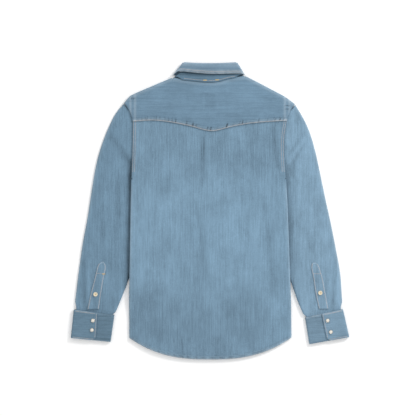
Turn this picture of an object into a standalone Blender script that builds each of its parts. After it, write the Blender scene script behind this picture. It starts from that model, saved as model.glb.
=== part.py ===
"""Denim western shirt, buttoned up and laid face down on a flat surface, back uppermost.

Metres, +Z up. The collar points to +Y and the wearer's left is at -X. The origin is
the middle of the outline, on the surface that the shirt lies on.
Every panel is a wall of cloth, worked out from its own edges and from the heights at
which the two sides of the shirt lie on each other.
"""
import math
from collections import namedtuple

import bmesh
import bpy
from mathutils import Vector

# ---------------------------------------------------------------- cloth and seams
WALL = 0.0012                     # denim, one layer with its seam allowance
CUFF_WALL = 0.0016                # two layers with a stiffener
GAP = 0.0003                      # clearance between neighbouring pieces
LAP = WALL + 0.0004               # height of one cloth's middle above the next
FLOOR_LAYER = WALL / 2            # middle of a layer that lies on the surface

# ---------------------------------------------------------------- heights
FOLD_RISE = 0.0056                # from the under layer to the back at a side fold
SLEEVE_FLAT = 0.0048              # sleeve's upper layer where the body lies on it
SLEEVE_CROWN = 0.0034             # extra height of a free sleeve
BODY_ON_SLEEVE = SLEEVE_FLAT + LAP - FLOOR_LAYER
FRONT_LIFT = 0.0035               # front edge over the placket, and neck over the collar
FRONT_LAP = LAP + 0.0003          # right front above the left one
ARMHOLE_HEIGHT = 0.0098           # back's layer along the armhole

# ---------------------------------------------------------------- outline
SHOULDER_WRAP = 0.035             # yoke past the shoulder fold, to its front seam
SIDE_WRAP = 0.040                 # back past the side fold, to the side seam
YOKE_LAP = 0.010                  # back tucked under the yoke
SLEEVE_TUCK = 0.008               # sleeve under the armhole edge, and in the cuff
SHOULDER_RADIUS = 0.0045
NECK_LEAN = 0.017                 # yoke's front ends towards the middle
SIDE_RADIUS = 0.0035
ARMPIT_Y = 0.080
HEM_Y = -0.400
HEM_RISE = 0.058                  # side of the shirt tail above its lowest point
HEM_POWER = 2.6
HEM_HALF = 0.218
FRONT_HEM_Y = -0.395
BACK_TOP_Y = 0.240

Side = namedtuple("Side", "y left right")
BODY_SIDES = (
    Side(-0.342, -0.2170, 0.2190),
    Side(-0.241, -0.2175, 0.2175),
    Side(-0.154, -0.2160, 0.2145),
    Side(0.018, -0.2130, 0.2080),
    Side(0.124, -0.2105, 0.2015),
    Side(0.191, -0.2090, 0.2005),
    Side(0.242, -0.2080, 0.2075),
)

Across = namedtuple("Across", "x y")
YOKE_EDGE = (
    Across(-0.208, 0.2400),
    Across(-0.154, 0.2430),
    Across(-0.108, 0.2385),
    Across(-0.054, 0.2280),
    Across(0.004, 0.2145),
    Across(0.059, 0.2265),
    Across(0.108, 0.2350),
    Across(0.159, 0.2395),
    Across(0.208, 0.2425),
)
SHOULDER_LEFT = (
    Across(-0.231, 0.2900),
    Across(-0.216, 0.3080),
    Across(-0.202, 0.3155),
    Across(-0.150, 0.3380),
    Across(-0.100, 0.3590),
)
NECK_SEAM = (
    Across(-0.100, 0.3590),
    Across(-0.081, 0.3550),
    Across(-0.054, 0.3515),
    Across(0.000, 0.3473),
    Across(0.027, 0.3500),
    Across(0.049, 0.3560),
    Across(0.093, 0.3635),
)
SHOULDER_RIGHT = (
    Across(0.093, 0.3635),
    Across(0.1215, 0.3490),
    Across(0.175, 0.3210),
    Across(0.2025, 0.3060),
    Across(0.228, 0.2870),
)

Crown = namedtuple("Crown", "y height")
BACK_CROWN = (
    Crown(-0.400, 0.0078),
    Crown(-0.300, 0.0092),
    Crown(-0.100, 0.0098),
    Crown(0.120, 0.0104),
    Crown(0.240, 0.0102),
    Crown(0.360, 0.0098),
)

Crease = namedtuple("Crease", "x0 y0 x1 y1 depth half_width")
BACK_CREASES = (
    Crease(-0.014, 0.200, -0.014, 0.060, 0.0014, 0.012),
    Crease(-0.016, -0.060, -0.012, -0.170, 0.0010, 0.014),
    Crease(0.172, 0.205, 0.188, 0.110, 0.0016, 0.012),
    Crease(0.155, 0.020, 0.172, -0.160, 0.0014, 0.015),
)

# ---------------------------------------------------------------- sleeves
SleeveShape = namedtuple("SleeveShape", "side outer inner armhole front_armhole")
SLEEVES = {
    "left": SleeveShape(
        side=-1,
        outer=((-0.232, 0.2885), (-0.254, 0.262), (-0.278, 0.213), (-0.297, 0.160),
               (-0.308, 0.116), (-0.319, 0.051), (-0.330, -0.020), (-0.343, -0.090),
               (-0.353, -0.160), (-0.361, -0.225), (-0.366, -0.274)),
        inner=((-0.170, 0.080), (-0.175, 0.020), (-0.183, -0.050), (-0.195, -0.115),
               (-0.217, -0.176), (-0.236, -0.227), (-0.262, -0.289)),
        armhole=((-0.231, 0.290), (-0.220, 0.275), (-0.2125, 0.258), (-0.209, 0.238),
                 (-0.209, 0.191), (-0.2105, 0.130), (-0.196, 0.103), (-0.170, 0.080)),
        front_armhole=((-0.231, 0.290), (-0.221, 0.258), (-0.200, 0.215),
                       (-0.182, 0.165), (-0.170, 0.115), (-0.167, 0.080)),
    ),
    "right": SleeveShape(
        side=1,
        outer=((0.229, 0.2855), (0.243, 0.263), (0.2565, 0.2385), (0.270, 0.206),
               (0.2835, 0.159), (0.297, 0.097), (0.3105, 0.032), (0.324, -0.029),
               (0.3375, -0.0975), (0.3505, -0.170), (0.3545, -0.225), (0.3575, -0.273)),
        inner=((0.162, 0.080), (0.168, 0.020), (0.178, -0.050), (0.193, -0.120),
               (0.2165, -0.184), (0.236, -0.240), (0.259, -0.295)),
        armhole=((0.228, 0.287), (0.218, 0.272), (0.2105, 0.257), (0.207, 0.242),
                 (0.2005, 0.191), (0.2015, 0.130), (0.188, 0.103), (0.162, 0.080)),
        front_armhole=((0.228, 0.287), (0.218, 0.255), (0.196, 0.215),
                       (0.177, 0.165), (0.162, 0.115), (0.158, 0.080)),
    ),
}
SLEEVE_CREASES = {
    "left": (
        Crease(-0.262, 0.202, -0.215, 0.118, 0.0022, 0.012),
        Crease(-0.343, -0.140, -0.337, -0.262, 0.0020, 0.009),
    ),
    "right": (
        Crease(0.205, 0.170, 0.246, 0.192, 0.0020, 0.014),
        Crease(0.236, 0.150, 0.220, 0.090, 0.0014, 0.012),
        Crease(0.335, -0.130, 0.333, -0.262, 0.0020, 0.009),
    ),
}
WRIST_BOTTOM = 0.0027             # sleeve's two layers where they are in the cuff
WRIST_TOP = 0.0056
WRIST_INSET = 0.0050

# ---------------------------------------------------------------- cuffs
CuffShape = namedtuple("CuffShape", "outer_top outer_bottom inner_top inner_bottom edge_top edge_bottom")
CUFFS = {
    "left": CuffShape((-0.3665, -0.2660), (-0.3745, -0.3425), (-0.2585, -0.2805),
                      (-0.2690, -0.3530), 0.59, 0.64),
    "right": CuffShape((0.3575, -0.2650), (0.3745, -0.3400), (0.2570, -0.2870),
                       (0.2685, -0.3590), 0.565, 0.56),
}
CUFF_UPPER = 0.0097               # end with the snaps
CUFF_UNDER = 0.0075               # end that goes under it
CUFF_LOWER = CUFF_WALL / 2
CUFF_UNDERLAP = 0.34              # share of the width that lies double
CUFF_CORNER = 0.014
CUFF_OUTER_RADIUS = 0.0042
CUFF_INNER_RADIUS = 0.0034

# ---------------------------------------------------------------- sleeve plackets
PlacketRow = namedtuple("PlacketRow", "y outer inner")
SLEEVE_PLACKETS = {
    "left": (
        PlacketRow(-0.1365, -0.2905, -0.2870),
        PlacketRow(-0.1440, -0.3005, -0.2815),
        PlacketRow(-0.1530, -0.3040, -0.2800),
        PlacketRow(-0.1810, -0.3105, -0.2860),
        PlacketRow(-0.2240, -0.3215, -0.2930),
        PlacketRow(-0.2650, -0.3300, -0.2990),
    ),
    "right": (
        PlacketRow(-0.1385, 0.2830, 0.2795),
        PlacketRow(-0.1440, 0.2905, 0.2735),
        PlacketRow(-0.1530, 0.2950, 0.2725),
        PlacketRow(-0.1815, 0.3035, 0.2780),
        PlacketRow(-0.2190, 0.3105, 0.2835),
        PlacketRow(-0.2640, 0.3190, 0.2930),
    ),
}

# ---------------------------------------------------------------- front
FRONT_OVERLAP = 0.016             # each front past the middle line
PLACKET_HALF = 0.016
FRONT_NECK_Y = 0.290
NECK_POWER = 6.0
PLACKET_HEIGHT = FLOOR_LAYER + FRONT_LIFT - LAP

# ---------------------------------------------------------------- collar
BACK_END = 0.40                   # ring share: middle of the back to the side fold
SIDE_END = 0.58                   # ring share: end of the side fold
Ring = namedtuple("Ring", "middle half_width front_end radius back_height front_height")
STAND_SEAM = Ring(-0.0035, 0.0920, -0.014, 0.0040, 0.0132, 0.0057)
STAND_TOP = Ring(-0.0020, 0.0722, -0.014, 0.0020, 0.0062, 0.0041)
LEAF_SEAM = Ring(-0.0020, 0.0800, 0.007, 0.0038, 0.0098, 0.0023)
LEAF_INSIDE = Ring(-0.0005, 0.0722, 0.008, 0.0030, 0.0082, 0.0023)
LEAF_OUTSIDE = Ring(-0.0002, 0.0745, 0.009, 0.0060, 0.0140, 0.0006)
LEAF_MIDDLE = Ring(-0.0018, 0.0870, 0.043, 0.0062, 0.0146, 0.0006)
LEAF_EDGE = Ring(-0.0035, 0.0965, 0.076, 0.0062, 0.0138, 0.0006)
STAND_BACK_Y = 0.3790
STAND_FRONT_HEIGHT = 0.026
LEAF_LAP = 0.004                  # leaf over the stand's upper edge
ROLL_Y = 0.3981
ROLL_SIDE_RISE = 0.0030
LEAF_BACK_EDGE = (
    Across(-0.101, 0.3625),
    Across(-0.094, 0.3705),
    Across(-0.085, 0.3755),
    Across(-0.045, 0.3720),
    Across(0.003, 0.3685),
    Across(0.050, 0.3690),
    Across(0.080, 0.3690),
    Across(0.095, 0.3660),
)
COLLAR_POINT_Y = 0.252

# ---------------------------------------------------------------- snaps and buttons
SNAP_RADIUS = 0.0054
SNAP_HEIGHT = 0.0026
FRONT_SNAP_HEIGHT = 0.0016
FRONT_SNAP_TOP_Y = 0.235
FRONT_SNAP_PITCH = 0.095
FRONT_SNAP_COUNT = 6
BUTTON_RADIUS = 0.0059
BUTTON_HEIGHT = 0.0028
BUTTON_HOLLOW = 0.0036
BUTTON_HOLLOW_DEPTH = 0.0008
ROUND_SIDES = 12
CUFF_SNAPS = {
    "left": ((-0.3150, -0.2950), (-0.3175, -0.3205)),
    "right": ((0.3165, -0.2950), (0.3250, -0.3258)),
}
PLACKET_BUTTONS = {"left": (-0.3080, -0.2245), "right": (0.2967, -0.2207)}


# ================================================================ plain helpers
def smooth(start, end, value):
    """0 before start, 1 after end, and an even turn between them."""
    share = min(1.0, max(0.0, (value - start) / (end - start)))
    return share * share * (3 - 2 * share)


def mix(a, b, share):
    return a + (b - a) * share


def spread(first, last, count):
    """count values from first to last, evenly spaced."""
    return [mix(first, last, k / (count - 1)) for k in range(count)]


def read(rows, at):
    """A smooth value from rows of (place, value), sorted by place."""
    if at <= rows[0][0]:
        return rows[0][1]
    if at >= rows[-1][0]:
        return rows[-1][1]
    k = next(i for i in range(len(rows) - 1) if rows[i + 1][0] >= at)
    (x0, y0), (x1, y1) = rows[k], rows[k + 1]
    before = rows[max(0, k - 1)]
    after = rows[min(len(rows) - 1, k + 2)]
    slope0 = (y1 - before[1]) / (x1 - before[0])
    slope1 = (after[1] - y0) / (after[0] - x0)
    t = (at - x0) / (x1 - x0)
    width = x1 - x0
    start = (2 * t ** 3 - 3 * t ** 2 + 1) * y0 + (t ** 3 - 2 * t ** 2 + t) * width * slope0
    end = (3 * t ** 2 - 2 * t ** 3) * y1 + (t ** 3 - t ** 2) * width * slope1
    return start + end


def line_through(points, steps=8):
    """A smooth line through plan points, read by its share of the whole length."""
    places = [0.0]
    for a, b in zip(points, points[1:]):
        places.append(places[-1] + math.hypot(b[0] - a[0], b[1] - a[1]))
    xs = list(zip(places, [p[0] for p in points]))
    ys = list(zip(places, [p[1] for p in points]))
    fine = spread(0.0, places[-1], steps * len(points))
    line = [Vector((read(xs, s), read(ys, s))) for s in fine]
    reach = [0.0]
    for a, b in zip(line, line[1:]):
        reach.append(reach[-1] + (b - a).length)

    def at(share):
        want = min(1.0, max(0.0, share)) * reach[-1]
        k = next((i for i in range(len(reach) - 1) if reach[i + 1] >= want), len(reach) - 2)
        part = (want - reach[k]) / (reach[k + 1] - reach[k])
        return line[k].lerp(line[k + 1], part)

    return at


def patch(top, bottom, left, right):
    """A plan surface between four edges: top and bottom run left to right."""
    corners = (top(0), top(1), bottom(0), bottom(1))

    def at(down, over):
        ruled = mix(top(over), bottom(over), down) + mix(left(down), right(down), over)
        flat = mix(mix(corners[0], corners[1], over), mix(corners[2], corners[3], over), down)
        return ruled - flat

    return at


def folded(run, radius, share, wrap, flat_share, turn_share):
    """Where a strip is at a share of its length, when its end is folded under.

    Gives the plan distance from its start, and 0 on the upper layer to 1 on the lower.
    """
    if share <= flat_share:
        return (run - radius) * share / flat_share, 0.0
    if share <= turn_share:
        turn = math.pi * (share - flat_share) / (turn_share - flat_share)
        return run - radius + radius * math.sin(turn), (1 - math.cos(turn)) / 2
    return run - radius - wrap * (share - turn_share) / (1 - turn_share), 1.0


def crease_depth(creases, x, y):
    """How far the soft troughs lower the cloth at a point."""
    depth = 0.0
    for crease in creases:
        along = Vector((crease.x1 - crease.x0, crease.y1 - crease.y0))
        here = Vector((x - crease.x0, y - crease.y0))
        share = here.dot(along) / along.length_squared
        away = abs(along.x * here.y - along.y * here.x) / along.length
        ends = smooth(-0.15, 0.2, share) * (1 - smooth(0.8, 1.15, share))
        depth += crease.depth * ends * math.exp(-(away / crease.half_width) ** 2)
    return depth


# ================================================================ outline and heights
SIDE_LINES = {
    -1: [(row.y, row.left) for row in BODY_SIDES],
    1: [(row.y, row.right) for row in BODY_SIDES],
}
INNER_LINES = {
    shape.side: sorted((y, x) for x, y in shape.inner) for shape in SLEEVES.values()
}
OUTER_LINES = {
    shape.side: sorted((y, x) for x, y in shape.outer) for shape in SLEEVES.values()
}
FRONT_ARMHOLES = {
    shape.side: sorted((y, x) for x, y in shape.front_armhole) for shape in SLEEVES.values()
}


def body_edge(y, side):
    return read(SIDE_LINES[side], y)


def hem_y(x):
    return HEM_Y + HEM_RISE * (abs(x) / HEM_HALF) ** HEM_POWER


def top_edge_y(x):
    """Shoulder fold and back neck seam, from armhole to armhole."""
    if x < SHOULDER_LEFT[-1].x:
        return read(SHOULDER_LEFT, x)
    if x > SHOULDER_RIGHT[0].x:
        return read(SHOULDER_RIGHT, x)
    return read(NECK_SEAM, x)


def back_height(x, y):
    """Middle of the back's cloth."""
    side = -1 if x < 0 else 1
    out = abs(x) / abs(body_edge(y, side))
    edge = mix(under_height(body_edge(y, side), y) + FOLD_RISE, ARMHOLE_HEIGHT,
               smooth(0.085, 0.135, y))
    height = mix(read(BACK_CROWN, y), edge, smooth(0.62, 1.0, out))
    return height - crease_depth(BACK_CREASES, x, y)


def under_height(x, y):
    """Middle of the layer under the back: on the surface, or on a sleeve."""
    side = -1 if x < 0 else 1
    over_sleeve = (x - read(INNER_LINES[side], y)) * side
    share = smooth(-0.046, -0.012, over_sleeve) * (1 - smooth(0.098, 0.132, y))
    return FLOOR_LAYER + BODY_ON_SLEEVE * share


def yoke_column(top_x):
    """Lower and upper ends of the yoke's cloth along one line from its edge to the fold."""
    far_left = SHOULDER_LEFT[0].x
    far_right = SHOULDER_RIGHT[-1].x
    share = (top_x - far_left) / (far_right - far_left)
    low_x = mix(body_edge(BACK_TOP_Y, -1), body_edge(BACK_TOP_Y, 1), share)
    return Vector((low_x, read(YOKE_EDGE, low_x))), Vector((top_x, top_edge_y(top_x)))


def yoke_front_edge(top_x):
    """Where that line ends on the front."""
    low, high = yoke_column(top_x)
    past_neck = max(SHOULDER_LEFT[-1].x - top_x, top_x - SHOULDER_RIGHT[0].x)
    lean = NECK_LEAN * (1 - smooth(0.0, 0.060, past_neck)) * (1 if top_x < 0 else -1)
    end = high - (high - low).normalized() * (SHOULDER_RADIUS + SHOULDER_WRAP)
    return end.x + lean, end.y


YOKE_FRONT_SEAM = {
    -1: [yoke_front_edge(x) for x in spread(SHOULDER_LEFT[0].x, SHOULDER_LEFT[-1].x - 0.005, 7)],
    1: [yoke_front_edge(x) for x in spread(SHOULDER_RIGHT[0].x + 0.005, SHOULDER_RIGHT[-1].x, 7)],
}


def front_height(x, y, side):
    """Middle of a front: raised over sleeves, placket, collar and the yoke's seam."""
    on_placket = 1 - smooth(0.022, 0.050, abs(x))
    on_collar = (1 - smooth(0.092, 0.122, abs(x))) * smooth(0.215, 0.246, y)
    yoke_seam = read(YOKE_FRONT_SEAM[side], x)
    on_yoke = 2 * LAP * smooth(yoke_seam - 0.024, yoke_seam - 0.008, y)
    from_armhole = (read(FRONT_ARMHOLES[side], y) - x) * side
    on_seam = LAP * (1 - smooth(0.018, 0.038, from_armhole)) * smooth(0.085, 0.115, y)
    lift = max(FRONT_LIFT * on_placket, FRONT_LIFT * on_collar, on_yoke, on_seam)
    height = max(under_height(x, y), FLOOR_LAYER + lift)
    if side > 0:
        height += FRONT_LAP * (1 - smooth(0.020, 0.050, x))
    return height


def sleeve_height(x, y, side, name):
    """Middle of a sleeve's upper layer."""
    outer = read(OUTER_LINES[side], y)
    inner = read(INNER_LINES[side], min(y, ARMPIT_Y))
    over = min(1.0, max(0.0, (x - outer) / (inner - outer)))
    outside = (x - body_edge(min(y, BODY_SIDES[-1].y), side)) * side
    crown = SLEEVE_CROWN * smooth(0.0, 0.25, over) * smooth(0.0, 0.035, outside)
    height = SLEEVE_FLAT + crown
    seam = mix(SLEEVE_FLAT, back_height(x, y) - LAP, smooth(0.108, 0.152, y))
    seam += LAP * smooth(BACK_TOP_Y + YOKE_LAP, SHOULDER_LEFT[0].y, y)
    near_seam = 1 - smooth(0.004, 0.045, outside)
    height = mix(height, seam, near_seam * smooth(0.085, 0.110, y))
    return height - crease_depth(SLEEVE_CREASES[name], x, y)


# ================================================================ making solids
def material(name, colour, roughness, metallic=0.0):
    """A finish for one node."""
    mat = bpy.data.materials.new(name)
    mat.use_nodes = True
    shader = mat.node_tree.nodes["Principled BSDF"]
    shader.inputs["Base Color"].default_value = (*colour, 1.0)
    shader.inputs["Roughness"].default_value = roughness
    shader.inputs["Metallic"].default_value = metallic
    return mat


DENIM = (0.190, 0.310, 0.415)
PEARL = (0.860, 0.820, 0.750)


def add_object(name, mesh_bm, origin, mat):
    """Put a bmesh, built in world coordinates, into the scene with its own origin."""
    bmesh.ops.recalc_face_normals(mesh_bm, faces=mesh_bm.faces)
    bmesh.ops.translate(mesh_bm, verts=mesh_bm.verts, vec=-Vector(origin))
    mesh = bpy.data.meshes.new(name)
    mesh_bm.to_mesh(mesh)
    mesh_bm.free()
    mesh.materials.append(mat)
    mesh.shade_smooth()
    obj = bpy.data.objects.new(name, mesh)
    obj.location = origin
    bpy.context.scene.collection.objects.link(obj)
    return obj


def cloth(name, rows, thickness=WALL, ring=False):
    """A wall of cloth whose middle passes through rows of points; None leaves a place out."""
    work = bmesh.new()
    grid = [[point and work.verts.new(point) for point in row] for row in rows]
    columns = len(grid[0])
    last = columns if ring else columns - 1
    for upper, lower in zip(grid, grid[1:]):
        for k in range(last):
            after = (k + 1) % columns
            corners = (upper[k], lower[k], lower[after], upper[after])
            if None not in corners:
                work.faces.new(corners)
    middle = sum((vert.co for vert in work.verts), Vector()) / len(work.verts)
    obj = add_object(name, work, (middle.x, middle.y, 0.0), material(name, DENIM, 0.85))
    wall = obj.modifiers.new("wall", "SOLIDIFY")
    wall.thickness = thickness
    wall.offset = 0.0
    wall.use_rim = True
    return obj


def turned(name, profile, place, mat):
    """A round piece turned from (radius, height) pairs, listed from the top."""
    work = bmesh.new()
    rings = []
    for radius, height in profile:
        if radius == 0:
            rings.append([work.verts.new((place[0], place[1], place[2] + height))])
            continue
        ring = []
        for k in range(ROUND_SIDES):
            angle = 2 * math.pi * k / ROUND_SIDES
            ring.append(work.verts.new((place[0] + radius * math.cos(angle),
                                        place[1] + radius * math.sin(angle),
                                        place[2] + height)))
        rings.append(ring)
    for upper, lower in zip(rings, rings[1:]):
        for k in range(ROUND_SIDES):
            after = (k + 1) % ROUND_SIDES
            corners = [upper[k % len(upper)], lower[k % len(lower)],
                       lower[after % len(lower)], upper[after % len(upper)]]
            work.faces.new(list(dict.fromkeys(corners)))
    return add_object(name, work, place, mat)


# ================================================================ body
def make_yoke():
    """Yoke: covers the shoulders, and folds over them to its seams on the front."""
    far_left = SHOULDER_LEFT[0].x
    far_right = SHOULDER_RIGHT[-1].x
    neck_left = SHOULDER_LEFT[-1].x
    neck_right = SHOULDER_RIGHT[0].x
    tops = (spread(far_left, neck_left - 0.0055, 8)
            + [neck_left - 0.0022]
            + spread(neck_left + 0.001, neck_right - 0.001, 9)
            + [neck_right + 0.0022]
            + spread(neck_right + 0.0055, far_right, 8))
    columns = []
    for top_x in tops:
        share = (top_x - far_left) / (far_right - far_left)
        low, high = yoke_column(top_x)
        past_neck = max(neck_left - top_x, top_x - neck_right)
        folds = past_neck > 0
        run = (high - low).length
        along = (high - low) / run
        bow = 0.004 * (1 - smooth(0.0, 0.05, min(share, 1 - share)))
        column = []
        lean = yoke_front_edge(top_x)[0] - (high - along * (SHOULDER_RADIUS + SHOULDER_WRAP)).x
        for part in spread(0.0, 1.0, 11):
            distance, lower = folded(run, SHOULDER_RADIUS, part, SHOULDER_WRAP, 0.5, 0.8)
            if not folds and part > 0.5:
                column.append(None)
                continue
            if not folds:
                distance = run * part / 0.5
            place = low + along * distance
            rise = math.sin(math.pi * min(1.0, distance / run)) * bow
            place.x += rise if top_x < 0 else -rise
            if lower == 1:
                place.x += lean * (run - distance) / SHOULDER_WRAP
            upper_z = back_height(place.x, place.y) + LAP
            column.append((place.x, place.y, mix(upper_z, FLOOR_LAYER + LAP, lower)))
        columns.append(column)
    cloth("yoke", columns)


def make_back():
    """Back: one panel from the yoke to the tail, folded under along both sides."""
    shares = (spread(0.0, 0.66, 9) + spread(0.66, 0.86, 5)[1:] + spread(0.86, 1.0, 3)[1:])
    signed = [-share for share in reversed(shares[1:])] + shares
    row_ys = (spread(BACK_TOP_Y, 0.150, 5) + spread(0.130, 0.078, 5)
              + spread(0.045, -0.300, 9) + [-0.325, -0.3415])
    corner = hem_y(body_edge(row_ys[-1], 1))
    rows = []
    for edge_y in row_ys:
        down = (BACK_TOP_Y - edge_y) / (BACK_TOP_Y - row_ys[-1])
        folds = edge_y <= ARMPIT_Y
        row = []
        for share in signed:
            side = -1 if share < 0 else 1
            run = abs(body_edge(edge_y, side))
            distance, lower = folded(run, SIDE_RADIUS, abs(share), SIDE_WRAP, 0.66, 0.86)
            if not folds and abs(share) > 0.66:
                row.append(None)
                continue
            if not folds:
                distance = run * abs(share) / 0.66
            x = side * distance
            reach = side * min(distance, run) if lower < 1 else side * run
            y = edge_y
            y += (1 - down) ** 2 * (read(YOKE_EDGE, reach) + YOKE_LAP - BACK_TOP_Y)
            y += down ** 2 * (hem_y(reach) - corner)
            if lower == 1:
                y += down ** 2 * 0.004 * (run - distance) / SIDE_WRAP
            z = mix(back_height(x, y), under_height(x, y), lower)
            row.append((x, y, z))
        rows.append(row)
    cloth("back", rows)


def make_front(name, side):
    """Front: from the yoke's seam and the neck down to the tail, face down."""
    shape = SLEEVES[name.split("_")[1]]

    def side_seam(y):
        """Where the back's folded edge meets this front."""
        return body_edge(y, side) - side * (SIDE_RADIUS + SIDE_WRAP + 4 * GAP)

    outer = [Vector(place) for place in shape.front_armhole[1:-1]]
    outer += [Vector((side_seam(y), y)) for y in (ARMPIT_Y, -0.010, -0.120, -0.230, -0.338)]
    outer_line = line_through(outer)
    seam = YOKE_FRONT_SEAM[side]
    corner_x, corner_y = seam[-1] if side < 0 else seam[0]
    top = [outer[0]]
    for share in (0.3, 0.6, 0.9):
        x = mix(outer[0].x, corner_x, share)
        top.append(Vector((x, read(seam, x) + SLEEVE_TUCK)))
    for share in (0.98, 0.9, 0.75, 0.5, 0.25, 0.0):
        x = corner_x * share
        under_stand = smooth(0.050, 0.066, abs(x))
        past = mix(-8 * GAP, 0.003, under_stand)
        top.append(Vector((x, front_neck_y(x - STAND_SEAM.middle) + past)))
    top.append(Vector((-side * FRONT_OVERLAP, top[-1].y)))
    top_line = line_through(top)
    inner_line = line_through([top_line(1), Vector((-side * FRONT_OVERLAP, FRONT_HEM_Y))])
    hem = []
    for share in spread(1.0, 0.0, 7):
        x = outer[-1].x * share
        hem.append(Vector((x, FRONT_HEM_Y + 0.057 * share ** HEM_POWER)))
    hem.append(Vector((-side * FRONT_OVERLAP, FRONT_HEM_Y)))
    panel = patch(top_line, line_through(hem), outer_line, inner_line)
    rows = []
    for down in [0.0, 0.018, 0.04] + spread(0.08, 1.0, 12):
        row = []
        for over in spread(0.0, 1.0, 12):
            place = panel(down, over)
            row.append((place.x, place.y, front_height(place.x, place.y, side)))
        rows.append(row)
    cloth(name, rows)


def make_front_placket():
    """Placket: the band of the left front that the snaps go through, on its outside."""
    rows = []
    for y in spread(FRONT_NECK_Y - 0.006, FRONT_HEM_Y + 0.002, 15):
        rows.append([(x, y, PLACKET_HEIGHT) for x in (-PLACKET_HALF, 0.0, PLACKET_HALF)])
    cloth("front_placket", rows)


# ================================================================ sleeves
def make_sleeve(name):
    """Sleeve: a flattened tube from the armhole into the cuff."""
    shape = SLEEVES[name]
    side = shape.side
    outer_line = line_through(shape.outer)
    inner_line = line_through(shape.inner)
    seam_line = line_through(shape.armhole)
    front_line = line_through(shape.front_armhole)
    wrist_line = line_through((shape.outer[-1], shape.inner[-1]))

    def armhole(share):
        """Armhole seam, moved in under the body except at its two ends."""
        here = seam_line(share)
        ahead = seam_line(min(1.0, share + 0.02)) - seam_line(max(0.0, share - 0.02))
        inward = Vector((-ahead.y, ahead.x)).normalized() * (1 if side < 0 else -1)
        tuck = SLEEVE_TUCK * smooth(0.05, 0.14, share) * (1 - smooth(0.86, 0.98, share))
        return here + inward * (tuck - 4 * GAP)

    def front_armhole(share):
        """The same seam on the lower layer, where the sleeve runs under the front."""
        here = front_line(share)
        tuck = SLEEVE_TUCK * smooth(0.05, 0.14, share) * (1 - smooth(0.86, 0.98, share))
        return here + Vector((side * (4 * GAP - tuck), 0.0))

    upper = patch(armhole, wrist_line, outer_line, inner_line)
    lower = patch(front_armhole, wrist_line, outer_line, inner_line)
    downs = [0.0, 0.02, 0.045] + spread(0.09, 0.90, 12) + [0.945, 0.964, 0.980, 1.0]
    rows = []
    for down in downs:
        width = (upper(down, 1) - upper(down, 0)).length
        tucked = smooth(0.948, 0.978, down)
        inset = WRIST_INSET * tucked / width
        radius = mix(0.0030, 0.0016, tucked) / width
        row = []
        for over in spread(radius, 1 - radius, 8):
            place = upper(down, mix(inset, 1 - inset, over))
            z = mix(sleeve_height(place.x, place.y, side, name), WRIST_TOP, tucked)
            row.append((place, z))
        for angle in (0.25, 0.5, 0.75):
            row.append((1, math.pi * angle))
        for over in spread(1 - radius, radius, 5):
            place = lower(down, mix(inset, 1 - inset, over))
            row.append((place, mix(FLOOR_LAYER, WRIST_BOTTOM, tucked)))
        for angle in (0.75, 0.5, 0.25):
            row.append((0, math.pi * angle))
        ends = {0: row[0], 1: row[7]}
        bottoms = {0: row[15], 1: row[11]}
        points = []
        for first, second in row:
            if isinstance(first, Vector):
                points.append((first.x, first.y, second))
                continue
            above, height = ends[first]
            below, base = bottoms[first]
            edge = mix(upper(down, mix(inset, 1 - inset, first)),
                       lower(down, mix(inset, 1 - inset, first)), 0.5)
            drop = (1 - math.cos(second)) / 2
            start = above.lerp(below, drop)
            place = start.lerp(edge, math.sin(second))
            points.append((place.x, place.y, mix(height, base, drop)))
        rows.append(points)
    cloth("sleeve_" + name, rows, ring=True)


def make_sleeve_placket(name):
    """Sleeve placket: a pointed band over the slit, made on the sleeve's own cloth."""
    side = SLEEVES[name].side
    table = sorted(SLEEVE_PLACKETS[name])
    outer = [(row.y, row.outer) for row in table]
    inner = [(row.y, row.inner) for row in table]
    ys = [table[-1].y, table[-2].y, table[-3].y] + spread(table[-3].y, table[0].y, 8)[1:]
    rows = []
    for y in ys:
        row = []
        for over in spread(0.0, 1.0, 4):
            x = mix(read(outer, y), read(inner, y), over)
            row.append((x, y, sleeve_height(x, y, side, name) + LAP))
        rows.append(row)
    cloth("sleeve_placket_" + name, rows)


def make_cuff(name):
    """Cuff: a stiff band round the wrist, its snap end over its other end."""
    shape = CUFFS[name]
    corners = [Vector(pair) for pair in shape[:4]]
    outer_top, outer_bottom, inner_top, inner_bottom = corners
    rows = []
    for down in (0.0, 0.45, 0.82, 0.93, 1.0):
        outer = outer_top.lerp(outer_bottom, down)
        inner = inner_top.lerp(inner_bottom, down)
        width = (inner - outer).length
        height = (outer_bottom - outer_top).length
        edge = mix(shape.edge_top, shape.edge_bottom, down)
        into = max(0.0, CUFF_CORNER - (1 - down) * height)
        edge -= (CUFF_CORNER - math.sqrt(CUFF_CORNER ** 2 - into ** 2)) / width
        out = CUFF_OUTER_RADIUS / width
        back = CUFF_INNER_RADIUS / width
        row = [(over, CUFF_UPPER) for over in spread(edge, out, 6)]
        for angle in (0.25, 0.5, 0.75):
            turn = math.pi * angle
            row.append((out - out * math.sin(turn),
                        mix(CUFF_UPPER, CUFF_LOWER, (1 - math.cos(turn)) / 2)))
        row += [(over, CUFF_LOWER) for over in spread(out, 1 - back, 4)]
        for angle in (0.25, 0.5, 0.75):
            turn = math.pi * angle
            row.append((1 - back + back * math.sin(turn),
                        mix(CUFF_LOWER, CUFF_UNDER, (1 - math.cos(turn)) / 2)))
        row += [(over, CUFF_UNDER) for over in spread(1 - back, CUFF_UNDERLAP, 5)]
        rows.append([(*outer.lerp(inner, over), z) for over, z in row])
    cloth("cuff_" + name, rows, thickness=CUFF_WALL)


# ================================================================ collar
def front_neck_y(x):
    """Neck seam on the front, x measured from the middle."""
    half = STAND_SEAM.half_width
    side_y = top_edge_y(-half)
    return FRONT_NECK_Y + (side_y - FRONT_NECK_Y) * min(1.0, abs(x) / half) ** NECK_POWER


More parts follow.
